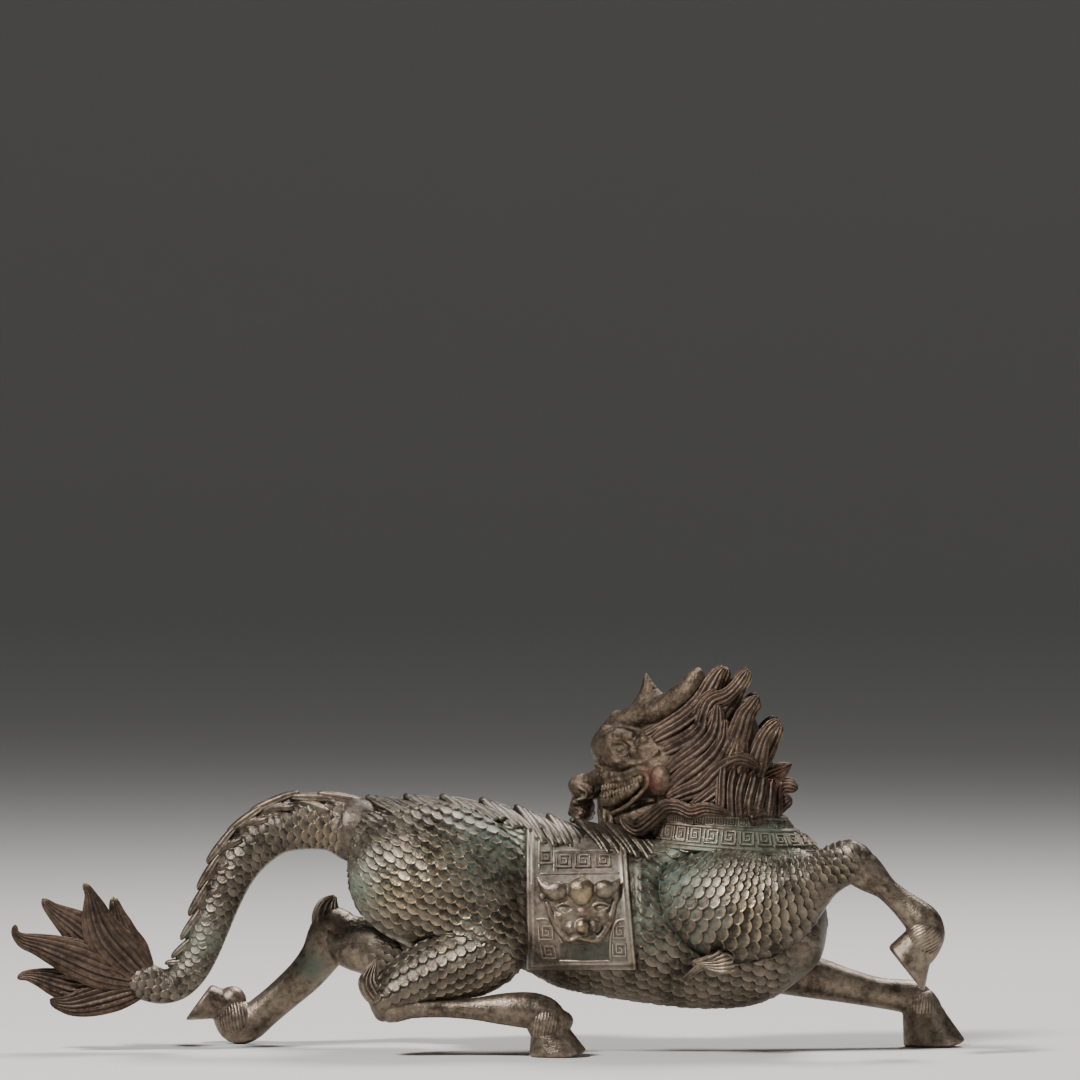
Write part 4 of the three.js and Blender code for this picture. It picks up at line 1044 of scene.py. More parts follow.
def back_leaf(kind):
    """A hump of the crest: its tip at the front of its own x axis, and strands that fall side by side down
    both flanks, swept ahead, and sink into the back at their roots."""
    leaf = BACK_LEAF[kind]
    rows = [[x * leaf["run"] / LEAF_RUN, y, z * leaf["hump"], a, b] for x, y, z, a, b in LEAF_MIDDLE]
    parts = [ridged_loft(rows, ridges=5, depth=0.16, sides=24, steps=3, at=on_leaf)]
    for sign in (-1, 1):
        for step in range(leaf["count"]):
            share = step / leaf["count"]
            end = math.radians(leaf["end"] * (1 + 0.1 * math.sin(2.4 * step)))
            rows = []
            for t in np.linspace(0, 1, 7):
                angle = end * (0.05 + 0.95 * t)
                out = leaf["hump"] * (1 - share) * (1 - t) ** 2 + 0.16 - 0.32 * t ** 3
                half = leaf["half"] * (0.55 + 0.45 * math.sin(math.pi * min(t + 0.15, 0.85)))
                rows.append([leaf["run"] * share + 0.3 + leaf["sweep"] * t,
                             sign * (leaf["across"] + out) * math.sin(angle),
                             (leaf["up"] + out) * math.cos(angle) - leaf["up"], half, 0.24])
            parts.append(ridged_loft(rows, ridges=3, depth=0.12, sides=12, steps=2, at=on_leaf,
                                     across=AHEAD, edge=1.0))
    return leaf_mesh(parts)


def tail_leaf():
    """A long leaf that hugs the tail, its tip at the front of its own x axis."""
    leaf = TAIL_LEAF
    parts = [ridged_loft([[x * leaf["long"], y, z, a, b] for x, y, z, a, b in LEAF_MIDDLE], ridges=5,
                         depth=0.16, sides=24, steps=3, at=on_leaf)]
    for sign in (-1, 1):
        for step, end in enumerate(leaf["ends"], 1):
            rows = []
            for t in np.linspace(0, 1, 6):
                angle = math.radians(end) * t ** 1.1
                around = leaf["round"] + 0.62 * (1 - t) ** 1.4 - 0.14 * step * (1 - t) - 0.22 * t
                half = 0.14 + leaf["wide"] * t if t < 0.9 else 0.3
                rows.append([(0.35 * step + 3.2 * t) * leaf["long"], sign * around * math.sin(angle),
                             around * math.cos(angle) - leaf["round"], half, 0.12 + 0.45 * half])
            parts.append(ridged_loft(rows, ridges=3, depth=0.14, sides=15, steps=3, at=on_leaf))
    return leaf_mesh(parts)


def on_leaf(rows):
    return np.asarray(rows, float)[..., :3] * PERCENT


def make_back_crest(kind):
    """Leaves along the spine, each pointing to the tail."""
    spots, axes = [], []
    for along in BACK_LEAVES[kind]:
        middle, _, high = (float(x) for x in torso_at(along))
        ahead = float(torso_at(along + 0.5)[0] + torso_at(along + 0.5)[2]) - middle - high
        spots.append(place([along, 0, middle + high + (OVER_CLOTH if kind == "saddle" else 0.15)]))
        x = unit(np.array([0.5, 0, ahead]))
        axes.append([x, ACROSS, np.cross(x, ACROSS)])
    stamp("crest_of_the_" + kind, back_leaf(kind), spots, axes, np.ones(len(spots)), SKIN_BRONZE)


def make_tail_crest():
    """Leaves along the outside of the tail, each pointing to its end."""
    table = smooth(TAIL, 6)
    path = place(table[:, :3])
    ahead, _, inner = frames(path, ACROSS)
    run = np.concatenate([[0], np.cumsum(np.linalg.norm(np.diff(path, axis=0), axis=1))])
    spots, axes, sizes = [], [], []
    first, last, count = TAIL_LEAVES
    for t in np.linspace(0, 1, count):
        i = int(np.searchsorted(run, first + (last - first) * t))
        outward = -inner[i]
        spots.append(path[i] + outward * table[i, 4] * PERCENT)
        axes.append([-ahead[i], ACROSS, np.cross(-ahead[i], ACROSS)])
        sizes.append(1.05 - 0.15 * t)
    stamp("crest_of_the_tail", tail_leaf(), spots, axes, sizes, LEG_BRONZE)


# Mane locks on the right side of the neck, from the face and the nape to their tips
MANE = [
    [[66.0, -3.0, 32.7, 0.3, 0.4], [68.3, -3.0, 33.8, 0.48, 0.7], [70.5, -2.8, 35.1, 0.52, 0.8],
     [72.0, -2.6, 36.7, 0.48, 0.78], [72.9, -2.4, 38.3, 0.39, 0.7], [73.5, -2.2, 39.4, 0.23, 0.42],
     [74.1, -2.2, 40.1, 0.05, 0.08]],
    [[66.9, -3.4, 32.4, 0.35, 0.55], [67.9, -3.4, 32.9, 0.5, 0.78], [69.8, -3.5, 33.9, 0.55, 0.89],
     [71.4, -3.3, 35.2, 0.52, 0.83], [72.2, -3.2, 36.5, 0.39, 0.62], [72.9, -3.2, 37.3, 0.23, 0.36],
     [73.4, -3.2, 37.8, 0.05, 0.08]],
    [[67.0, -3.4, 30.6, 0.36, 0.57], [68.9, -3.9, 31.5, 0.52, 0.83], [70.7, -4.5, 32.4, 0.58, 0.94],
     [72.0, -4.4, 33.7, 0.55, 0.89], [72.3, -3.6, 35.2, 0.45, 0.73], [72.9, -3.4, 36.5, 0.42, 0.68],
     [74.4, -3.4, 37.2, 0.36, 0.57], [75.5, -3.4, 38.3, 0.26, 0.42], [76.6, -3.4, 39.9, 0.05, 0.08]],
    [[67.9, -4.0, 28.8, 0.32, 0.52], [69.6, -4.6, 30.1, 0.52, 0.83], [71.5, -5.0, 31.4, 0.58, 0.94],
     [72.8, -4.7, 32.7, 0.55, 0.89], [73.3, -4.3, 34.1, 0.42, 0.68], [73.4, -4.0, 35.5, 0.23, 0.36],
     [73.4, -4.0, 36.3, 0.05, 0.08]],
    [[68.1, -4.4, 26.9, 0.32, 0.52], [69.6, -4.8, 28.3, 0.52, 0.83], [71.5, -5.2, 29.7, 0.58, 0.94],
     [73.0, -5.1, 31.1, 0.55, 0.89], [73.9, -4.6, 32.6, 0.45, 0.73], [74.1, -4.4, 33.8, 0.32, 0.52],
     [74.2, -4.4, 34.8, 0.05, 0.08]],
    [[68.3, -5.0, 26.3, 0.32, 0.52], [70.0, -5.1, 27.0, 0.45, 0.73], [71.7, -5.5, 27.7, 0.52, 0.83],
     [73.0, -5.4, 29.0, 0.52, 0.83], [74.2, -5.1, 30.0, 0.45, 0.73], [75.5, -5.0, 30.6, 0.36, 0.57],
     [76.7, -5.0, 30.4, 0.23, 0.36], [77.6, -5.0, 29.8, 0.05, 0.08]],
    [[70.6, -5.5, 25.3, 0.26, 0.42], [72.1, -5.8, 26.3, 0.42, 0.68], [73.5, -5.6, 27.3, 0.48, 0.78],
     [74.9, -5.1, 28.1, 0.45, 0.73], [75.9, -5.0, 28.6, 0.29, 0.47], [76.9, -5.0, 28.4, 0.05, 0.08]],
    [[74.0, -5.8, 26.6, 0.39, 0.62], [74.7, -5.2, 28.5, 0.52, 0.83], [75.2, -4.7, 30.3, 0.55, 0.89],
     [75.5, -4.6, 32.1, 0.48, 0.78], [75.8, -4.6, 33.5, 0.36, 0.57], [76.2, -4.6, 34.7, 0.19, 0.31],
     [76.7, -4.6, 35.5, 0.05, 0.08]],
    [[75.6, -5.6, 25.8, 0.39, 0.62], [76.5, -4.4, 27.8, 0.52, 0.83], [77.1, -4.2, 29.6, 0.55, 0.89],
     [77.6, -4.2, 31.3, 0.48, 0.78], [78.1, -4.2, 32.7, 0.36, 0.57], [78.8, -4.2, 33.8, 0.23, 0.36],
     [79.8, -4.2, 34.7, 0.05, 0.08]],
    [[74.2, -5.1, 29.9, 0.39, 0.62], [75.0, -4.6, 31.7, 0.52, 0.83], [75.7, -4.6, 33.6, 0.52, 0.83],
     [76.2, -4.6, 35.2, 0.42, 0.68], [76.9, -4.6, 36.2, 0.26, 0.42], [77.6, -4.6, 37.2, 0.05, 0.08]],
    [[71.0, -3.6, 34.6, 0.39, 0.62], [72.2, -2.9, 36.2, 0.52, 0.83], [73.2, -1.8, 37.7, 0.48, 0.78],
     [74.0, -1.8, 39.0, 0.32, 0.52], [74.5, -1.8, 40.0, 0.05, 0.08]],
    [[72.3, -4.6, 33.0, 0.39, 0.62], [73.5, -3.8, 34.8, 0.52, 0.83], [74.6, -2.7, 36.3, 0.48, 0.78],
     [75.5, -2.4, 37.7, 0.39, 0.62], [76.2, -2.4, 38.8, 0.23, 0.36], [76.8, -2.4, 39.7, 0.05, 0.08]],
    [[73.8, -5.0, 31.3, 0.39, 0.62], [75.0, -4.1, 33.2, 0.52, 0.83], [76.1, -2.8, 34.8, 0.48, 0.78],
     [77.1, -2.8, 35.9, 0.32, 0.52], [77.9, -2.8, 36.5, 0.05, 0.08]],
    [[76.0, -4.6, 28.0, 0.39, 0.62], [77.3, -3.3, 29.8, 0.52, 0.83], [78.3, -2.6, 31.2, 0.48, 0.78],
     [79.1, -2.6, 32.5, 0.36, 0.57], [79.6, -2.6, 33.5, 0.19, 0.31], [79.9, -2.6, 34.3, 0.05, 0.08]],
    [[75.6, -5.5, 26.1, 0.39, 0.62], [77.1, -4.1, 27.4, 0.52, 0.83], [78.3, -2.6, 28.5, 0.45, 0.73],
     [79.5, -2.6, 29.2, 0.29, 0.47], [80.6, -2.6, 29.6, 0.05, 0.08]],
    [[76.0, -5.7, 25.2, 0.45, 0.73], [77.6, -4.7, 26.0, 0.52, 0.83], [78.9, -2.4, 26.6, 0.45, 0.73],
     [80.0, -2.2, 27.5, 0.32, 0.52], [80.9, -2.2, 27.7, 0.19, 0.31], [81.8, -2.2, 27.4, 0.05, 0.08]],
    [[75.3, -6.1, 25.0, 0.39, 0.62], [76.4, -5.5, 25.9, 0.48, 0.78], [77.6, -4.1, 26.6, 0.45, 0.73],
     [78.8, -3.0, 27.7, 0.29, 0.47], [79.7, -3.0, 28.6, 0.05, 0.08]],
    [[76.7, -5.9, 24.6, 0.39, 0.62], [78.1, -4.8, 25.0, 0.45, 0.73], [79.4, -2.8, 25.3, 0.36, 0.57],
     [80.4, -2.4, 26.0, 0.23, 0.36], [81.2, -2.4, 26.4, 0.05, 0.08]],
]
# Locks in the middle of the crown and the nape, seen from behind
MANE_MIDDLE = [
    ([70.5, 0, 35.0], [72.4, 0, 36.8], [73.4, 0, 39.4], 1.2),
    ([73.0, 0, 33.6], [76.4, 0, 35.2], [77.8, 0, 37.0], 1.3),
    ([74.0, 0, 31.0], [78.2, 0, 31.2], [79.4, 0, 33.8], 1.4),
    ([74.0, 0, 28.0], [78.8, 0, 28.2], [81.2, 0, 30.0], 1.3),
    ([74.4, 0, 25.4], [79.2, 0, 25.4], [80.8, 0, 26.8], 1.2),
]
SIDE_LOCK = [
    [63.5, -1.2, 24.35, 0.25, 0.31], [64.2, -1.9, 23.66, 0.5, 0.62], [65.1, -2.6, 23.39, 0.67, 0.83],
    [66.0, -3.2, 23.95, 0.71, 0.89], [67.1, -3.9, 24.93, 0.67, 0.83], [68.1, -4.8, 25.67, 0.62, 0.78],
    [69.3, -5.7, 25.67, 0.58, 0.73], [70.6, -6.3, 25.19, 0.58, 0.73], [72.0, -6.7, 25.53, 0.54, 0.68],
    [73.2, -6.9, 25.38, 0.46, 0.57], [74.2, -7.0, 25.13, 0.29, 0.36], [74.7, -7.0, 24.82, 0.07, 0.08],
]
HAIR_TUFTS = [
    [[38.6, -8.8, 5.6, 0.7, 0.7], [37.8, -8.8, 6.6, 0.9, 1.0], [37.3, -8.8, 7.7, 0.8, 1.0],
     [37.5, -8.8, 8.8, 0.5, 0.62], [37.8, -8.8, 9.5, 0.3, 0.34], [38.1, -8.8, 10.1, 0.1, 0.1]],
    [[32.9, 9.9, 12.2, 1.3, 1.6], [32.7, 9.9, 13.6, 1.2, 1.5], [32.9, 9.9, 14.8, 0.8, 1.05],
     [33.5, 9.9, 15.7, 0.15, 0.2]],
    [[70.8, -8.0, 9.6, 0.25, 0.3], [72.0, -8.3, 9.7, 0.4, 0.6], [73.2, -8.4, 9.7, 0.5, 0.9],
     [74.2, -8.4, 9.8, 0.45, 0.9], [74.9, -8.4, 9.8, 0.2, 0.5]],
    [[72.2, -8.5, 9.6, 0.2, 0.25], [71.3, -8.3, 9.1, 0.35, 0.34], [70.4, -8.0, 8.3, 0.32, 0.3],
     [69.8, -7.8, 7.9, 0.25, 0.24], [69.4, -7.7, 8.0, 0.08, 0.08]],
]
# Strands of the tuft at the elbow: three places each, along and up, after their common root
ELBOW_ROOT = [71.0, 9.7]
ELBOW_STRANDS = [
    [[72.1, 10.15], [73.0, 10.45], [73.75, 11.05]], [[72.4, 9.98], [73.4, 10.22], [74.35, 10.75]],
    [[72.6, 9.72], [73.75, 9.95], [74.75, 10.35]], [[72.7, 9.46], [73.95, 9.58], [75.0, 9.95]],
    [[72.8, 9.2], [74.05, 9.2], [75.15, 9.5]], [[72.9, 8.95], [74.1, 8.82], [75.15, 9.05]],
]


def mirrored(rows):
    return [[row[0], -row[1], *row[2:]] for row in rows]


def lock_rows(root, bend, tip, wide):
    """Rows of a lock along one bend, thickest in the middle, that tapers to a small round tip."""
    root, bend, tip = (np.asarray(p, float) for p in (root, bend, tip))
    rows = []
    for t in np.linspace(0, 1, 9):
        spot = (1 - t) ** 2 * root + 2 * t * (1 - t) * bend + t * t * tip
        taper = max(0.05, math.sqrt(1 - t ** 3)) * (0.75 + 0.25 * math.sin(math.pi * t))
        rows.append([*spot, wide * 0.8 * taper, wide * taper])
    return rows


# How much fuller the locks are than their rows, in depth and width, and their least halves, at the tips
FULLER = [1.0, 1.35]
LOCK_LEAST = [0.34, 0.5]
# Upright strands at the foot of the mane: from and to along, their foot and height, and their number
CURTAIN = {"from": 73.6, "to": 79.4, "foot": 24.7, "high": 5.4, "count": 7}
# The mass of hair under the locks: eggs
MANE_MASS = [
    [71.4, 0, 33.2, 3.8, 3.1, 3.8], [73.6, 0, 32.0, 4.0, 3.8, 4.6], [75.2, 0, 28.6, 4.3, 4.6, 4.4],
    [76.0, 0, 25.6, 4.0, 5.4, 2.8],
]


def make_mane_mass():
    """The mass of hair under the locks, painted dark all over as the shade under them."""
    clay = Clay(place([62.0, -9.0, 20.0]), place([84.0, 9.0, 41.0]), GRAIN["mass"])
    for row in MANE_MASS:
        clay.egg(row, 1.5)
    points, faces = clay.skin()
    cast("mane_mass", points, faces, {"hollow": np.full(len(points), 0.7), **paint(points)}, HAIR_BRONZE)


def make_mane():
    """The locks of the mane on both sides, the upright strands at its foot and the locks down its middle."""
    parts = []
    for rows in MANE:
        rows = [[*row[:3], max(row[3], LOCK_LEAST[0]) * FULLER[0], max(row[4], LOCK_LEAST[1]) * FULLER[1]]
                for row in rows]
        parts.append(ridged_loft(rows, ridges=10, depth=0.2, sides=70, steps=5, blunt=0.13))
        parts.append(ridged_loft(mirrored(rows), ridges=8, depth=0.16, sides=40, steps=4, blunt=0.13))
    for t in np.linspace(0, 1, CURTAIN["count"]):
        foot = CURTAIN["from"] + (CURTAIN["to"] - CURTAIN["from"]) * t
        middle, wide, long = neck_at(CURTAIN["foot"])
        out = wide * math.sqrt(1 - min(abs(foot - middle) / long, 0.95) ** 2)
        rows = [[foot + 0.6 * s * s + 0.12 * math.sin(5 * s + 7 * t), -out - 0.25 + 1.3 * s * s,
                 CURTAIN["foot"] + CURTAIN["high"] * (1 - 0.35 * t) * s, 0.55, 0.6]
                for s in np.linspace(0, 1, 6)]
        parts += [ridged_loft(r, ridges=7, depth=0.2, sides=42, steps=3, blunt=0.15)
                  for r in (rows, mirrored(rows))]
    for bent in MANE_MIDDLE:
        parts.append(ridged_loft(lock_rows(*bent), ridges=9, depth=0.16, sides=44, steps=2))
    make_locks("mane", parts, HAIR_BRONZE)


def make_side_locks():
    """The wavy lock under each cheek."""
    left = [[row[0], 2 * HEAD[1] - row[1], *row[2:]] for row in SIDE_LOCK]
    make_locks("side_locks", [ridged_loft(rows, ridges=11, depth=0.2, sides=66, steps=6)
                              for rows in (SIDE_LOCK, left)], HAIR_BRONZE)


def make_leg_tufts():
    """The tufts of hair at the hocks and the elbows."""
    tufts = HAIR_TUFTS + [mirrored(rows) for rows in HAIR_TUFTS[2:]]
    parts = [ridged_loft(rows, ridges=13, depth=0.22, sides=91) for rows in tufts]
    for strand in ELBOW_STRANDS:
        rows = [[*ELBOW_ROOT, 8.2, 0.14]] + [[*spot, out, half] for spot, out, half in
                                             zip(strand, (8.75, 9.15, 9.0), (0.22, 0.26, 0.2))]
        rows = [[along, -out, up, 0.3, half] for along, up, out, half in rows]
        parts += [ridged_loft(r, ridges=0, depth=0, sides=14, steps=4, blunt=0.08)
                  for r in (rows, mirrored(rows))]
    make_locks("hock_and_elbow_tufts", parts, LEG_BRONZE)


# The head, in its own directions: forward, left and up. Eggs have three half sizes, rows two, across and up
HEAD_EGGS = [
    [3.2, 0, 2.2, 4.0, 3.5, 2.7], [-1.4, 0, 0.8, 4.0, 4.2, 4.2], [1.0, 0, -1.0, 4.4, 3.4, 2.6],
    [0.4, 0, -5.0, 4.6, 2.9, 2.7],
]
BRIDGE = [
    [3.8, 0, -0.8, 2.8, 1.9], [5.6, 0, -0.9, 2.0, 1.3], [7.2, 0, -1.4, 1.5, 1.05], [8.2, 0, -1.8, 1.4, 1.1],
]
# The nose, the front of the upper lip under it and the knob at the foot of the horn
NOSE = [[8.6, 0, -2.0, 1.5, 1.55, 1.3], [8.6, 0, -4.2, 1.3, 1.4, 1.7], [4.3, 0, 5.4, 1.0, 0.9, 0.7]]
CHIN = [[5.0, 0, -3.4, 1.9, 1.5], [4.7, 0, -5.2, 1.9, 1.6], [4.5, 0, -7.4, 1.7, 1.5]]
HORN = [
    [6.0, 0, 3.0, 1.2, 0.9], [4.6, 0, 4.2, 1.6, 1.3], [2.2, 0, 5.0, 2.0, 1.6], [-0.3, 0, 5.8, 2.1, 1.7],
    [-2.4, 0, 6.8, 2.0, 1.6], [-3.9, 0, 8.1, 1.7, 1.35], [-4.6, 0, 9.2, 1.3, 1.1],
    [-4.95, 0, 10.0, 0.7, 0.65],
]
HORN_PRONG = [
    [0.7, 0, 6.2, 1.3, 2.0], [0.6, 0, 7.3, 1.1, 1.5], [0.8, 0, 8.4, 0.75, 0.85], [1.1, 0, 9.85, 0.14, 0.14],
]
# Pairs of forms, one each side: brow, cheekbone, cheek, temple and the wing of the nose
SWELLS = [
    [2.7, 2.5, 2.6, 2.0, 1.3, 1.7], [2.0, 2.8, 1.0, 2.5, 1.2, 1.0], [-2.7, 3.9, -1.1, 1.3, 1.0, 1.7],
    [-0.6, 3.3, 2.3, 1.6, 0.9, 1.7], [7.9, 1.15, -2.5, 1.35, 0.8, 0.85],
]
# Small lumps round the eye, over the bridge of the nose and before the temple, each side
LUMPS = [
    [3.7, 2.9, 3.3, 0.65, 0.5, 0.5], [2.6, 3.3, 3.7, 0.75, 0.5, 0.5], [1.3, 3.6, 3.4, 0.75, 0.5, 0.6],
    [3.6, 3.1, 1.0, 0.6, 0.45, 0.4], [2.4, 3.6, 0.85, 0.7, 0.45, 0.4], [0.6, 3.8, 1.9, 0.6, 0.4, 0.7],
    [5.0, 2.1, 1.5, 0.8, 0.55, 0.6], [5.3, 1.7, 2.9, 0.8, 0.55, 0.8], [5.9, 1.2, 0.4, 0.7, 0.5, 0.5],
    [4.6, 2.2, 4.1, 0.8, 0.5, 0.5], [-0.7, 3.9, 3.1, 0.6, 0.4, 0.5], [8.6, 1.3, -3.6, 0.6, 0.4, 0.4],
    [9.2, 0.9, -4.4, 0.5, 0.4, 0.4], [8.4, 1.2, -5.2, 0.5, 0.4, 0.4],
]
SOCKET = [2.4, 3.8, 2.15, 0.9, 0.34, 0.62]
EYEBALL = [2.35, 3.3, 2.1, 0.55, 0.45, 0.4]
# Small hollows: over the end of the brow and the nostril
HOLLOWS = [[0.9, 4.0, 2.9, 0.3, 0.25, 0.35], [7.6, 2.0, -2.7, 0.3, 0.2, 0.2]]
MOUTH = [[5.3, 2.8, -2.7, 0.45, 0.75], [3.2, 3.5, -2.6, 0.5, 1.1], [1.2, 3.85, -1.95, 0.5, 0.9],
         [-0.5, 4.0, -1.1, 0.5, 0.5]]
# Ridges, each side: lids, edge of the cheekbone, lip, rim of the mouth, folds of the chin, nostril
RIDGES = [
    [[3.6, 3.1, 2.2, 0.2, 0.2], [3.0, 3.4, 2.9, 0.24, 0.22], [1.8, 3.65, 3.2, 0.26, 0.24],
     [0.9, 3.75, 2.7, 0.2, 0.2]],
    [[3.4, 3.2, 1.7, 0.16, 0.18], [2.4, 3.75, 1.35, 0.2, 0.2], [1.4, 3.9, 1.6, 0.18, 0.18]],
    [[4.6, 2.2, 0.0, 0.24, 0.2], [2.2, 3.35, 0.35, 0.3, 0.26], [1.0, 3.7, 0.65, 0.3, 0.26],
     [-0.2, 3.9, 0.75, 0.3, 0.26], [-1.1, 4.0, 1.05, 0.3, 0.26], [-2.4, 4.1, 2.0, 0.28, 0.24]],
    [[4.8, 2.1, -0.85, 0.34, 0.34], [1.9, 3.1, -0.5, 0.45, 0.42], [0.5, 3.45, 0.0, 0.45, 0.42],
     [-0.8, 3.8, 0.2, 0.4, 0.36]],
    [[5.0, 2.0, -1.5, 0.2, 0.2], [3.3, 2.9, -1.15, 0.24, 0.24], [1.8, 3.25, -0.95, 0.24, 0.24],
     [0.8, 3.45, -0.55, 0.24, 0.24], [0.0, 3.65, -0.2, 0.24, 0.24], [-0.8, 3.8, -0.4, 0.26, 0.26],
     [-1.2, 3.8, -1.25, 0.26, 0.26], [-0.6, 3.6, -2.0, 0.26, 0.26], [0.1, 3.45, -2.6, 0.26, 0.26],
     [1.0, 3.25, -3.3, 0.26, 0.26], [1.9, 3.0, -3.85, 0.26, 0.26], [3.0, 2.6, -4.3, 0.24, 0.24],
     [3.9, 2.2, -4.6, 0.2, 0.2]],
    [[5.9, 1.2, -3.6, 0.24, 0.24], [5.7, 1.4, -5.0, 0.3, 0.3], [5.4, 1.3, -7.2, 0.26, 0.26]],
    [[5.0, 1.8, -4.2, 0.24, 0.24], [4.9, 1.95, -5.4, 0.3, 0.3], [4.6, 1.8, -7.2, 0.26, 0.26]],
    [[4.1, 2.1, -4.9, 0.24, 0.24], [3.9, 2.3, -5.8, 0.3, 0.3], [3.7, 2.1, -7.2, 0.26, 0.26]],
    [[8.6, 1.6, -2.0, 0.14, 0.14], [7.8, 2.0, -2.1, 0.18, 0.16], [7.1, 1.85, -2.5, 0.18, 0.16],
     [7.3, 1.85, -3.1, 0.18, 0.16], [8.2, 1.9, -3.3, 0.16, 0.16]],
]
# The lower gum with its teeth, the upper teeth, the curled tooth at the back and small teeth under the nose
GUM = [[5.0, 2.2, -3.5, 0.34, 0.4], [3.6, 2.75, -3.4, 0.34, 0.45], [2.2, 3.1, -2.8, 0.34, 0.45],
       [1.0, 3.4, -2.2, 0.32, 0.4], [0.2, 3.5, -1.6, 0.26, 0.3]]
TEETH = [
    {"from": [5.1, 2.35, -2.95], "to": [0.5, 3.45, -1.65], "count": 12, "size": [0.19, 0.22, 0.4]},
    {"from": [4.9, 2.45, -2.05], "to": [0.3, 3.5, -1.05], "count": 13, "size": [0.18, 0.24, 0.5]},
]
SMALL_TEETH = [
    [-0.2, 3.6, -0.9, 0.36, 0.3, 0.5], [9.6, 0.7, -4.7, 0.32, 0.3, 0.36], [8.1, 1.3, -4.8, 0.34, 0.3, 0.36],
    [9.1, 0.9, -5.5, 0.55, 0.45, 0.36],
]
# Lumps of the eroded skin of the head: their size and height in mm
HEAD_LUMPS = [(1.4, 0.13), (0.7, 0.1)]


def lumpy(points, sizes):
    """How far random lumps of several sizes stand out at points."""
    rng = np.random.default_rng(7)
    total = np.zeros(len(points))
    for size, high in sizes:
        field = Clay(points.min(0) - size, points.max(0) + size, size)
        field.far = rng.uniform(-1, 1, field.far.shape)
        total += high * field.sample(points)
    return total


def make_head():
    """The head with its horn, as one block of clay."""
    on_head = {"at": head_place, "axes": HEAD_AXES}
    along_head = {"at": head_place, "across": HEAD_AXES[1]}
    clay = Clay(place([54.5, -6.5, 20.5]), place([75.0, 8.5, 42.0]), GRAIN["head"])

    def pair_of_tubes(rows, soft, cut=False):
        for side in (rows, mirrored(rows)):
            clay.tube(side, soft, cut, **along_head)

    def pairs_of_eggs(rows, soft, cut=False):
        for row in rows:
            for side in [row] + mirrored([row]):
                clay.egg(side, soft, cut, **on_head)

    for row in HEAD_EGGS:
        clay.egg(row, 1.0, **on_head)
    for rows, soft in ((BRIDGE, 1.2), (CHIN, 1.0), (HORN, 1.0), (HORN_PRONG, 1.6)):
        clay.tube(rows, soft, **along_head)
    for row in NOSE:
        clay.egg(row, 0.6, **on_head)
    pairs_of_eggs(SWELLS, 0.7)
    pairs_of_eggs(LUMPS, 0.3)
    pair_of_tubes(MOUTH, 0.3, cut=True)
    pairs_of_eggs([SOCKET] + HOLLOWS, 0.35, cut=True)
    pairs_of_eggs([EYEBALL], 0.12)
    for rows in RIDGES:
        pair_of_tubes(rows, 0.35)
    pair_of_tubes(GUM, 0.25)
    for teeth in TEETH:
        for t in np.linspace(0, 1, teeth["count"]):
            spot = [a + (b - a) * t for a, b in zip(teeth["from"], teeth["to"])]
            pairs_of_eggs([[*spot, *teeth["size"]]], 0.15)
    pairs_of_eggs(SMALL_TEETH, 0.15)
    points, faces, normals, values = surface(clay, 1.0)
    # Less painted shade in the hollows of the head
    values["hollow"] *= 0.75
    points = points + normals * lumpy(points, HEAD_LUMPS)[:, None]
    cast("head", points, faces, values, HEAD_BRONZE, MOST["head"])


def bead(x, middle, half):
    """A rounded ridge across a width."""
    return np.sqrt(np.maximum(1 - ((x - middle) / half) ** 2, 0))


def on_torso(along, share, proud):
    """Points over the back from the right flank (share 0) to the left (share 1), proud of the trunk."""
    middle, wide, high = torso_at(along)
    low = np.arcsin(np.clip((CLOTH["low"] - middle) / high, -1, 1))
    angle = low + share * (math.pi - 2 * low)
    across = -(wide + proud) * np.cos(angle)
    up = middle + (high + proud) * np.sin(angle)
    return place(np.stack([along + 0 * across, across, up], -1))


def cloth_end(share):
    """Where the front edge of the cloth lies: a little nearer the tail on top of the back than at the hem."""
    return CLOTH["to"] - CLOTH["slant"] * np.sin(math.pi * share)


# How deep the hidden inner faces of the cloth and the collar lie under the skin
BURIED = 0.6
# From hem to hem over the back, in hundredths
CLOTH_GIRTH = 29.0
# A patch on each flank under the mask, painted dark as the mask's shadow; the cloth is not sunk there. From,
# to, low and high
MASK_SHADOW_PATCH = [57.2, 62.2, 9.9, 11.6]


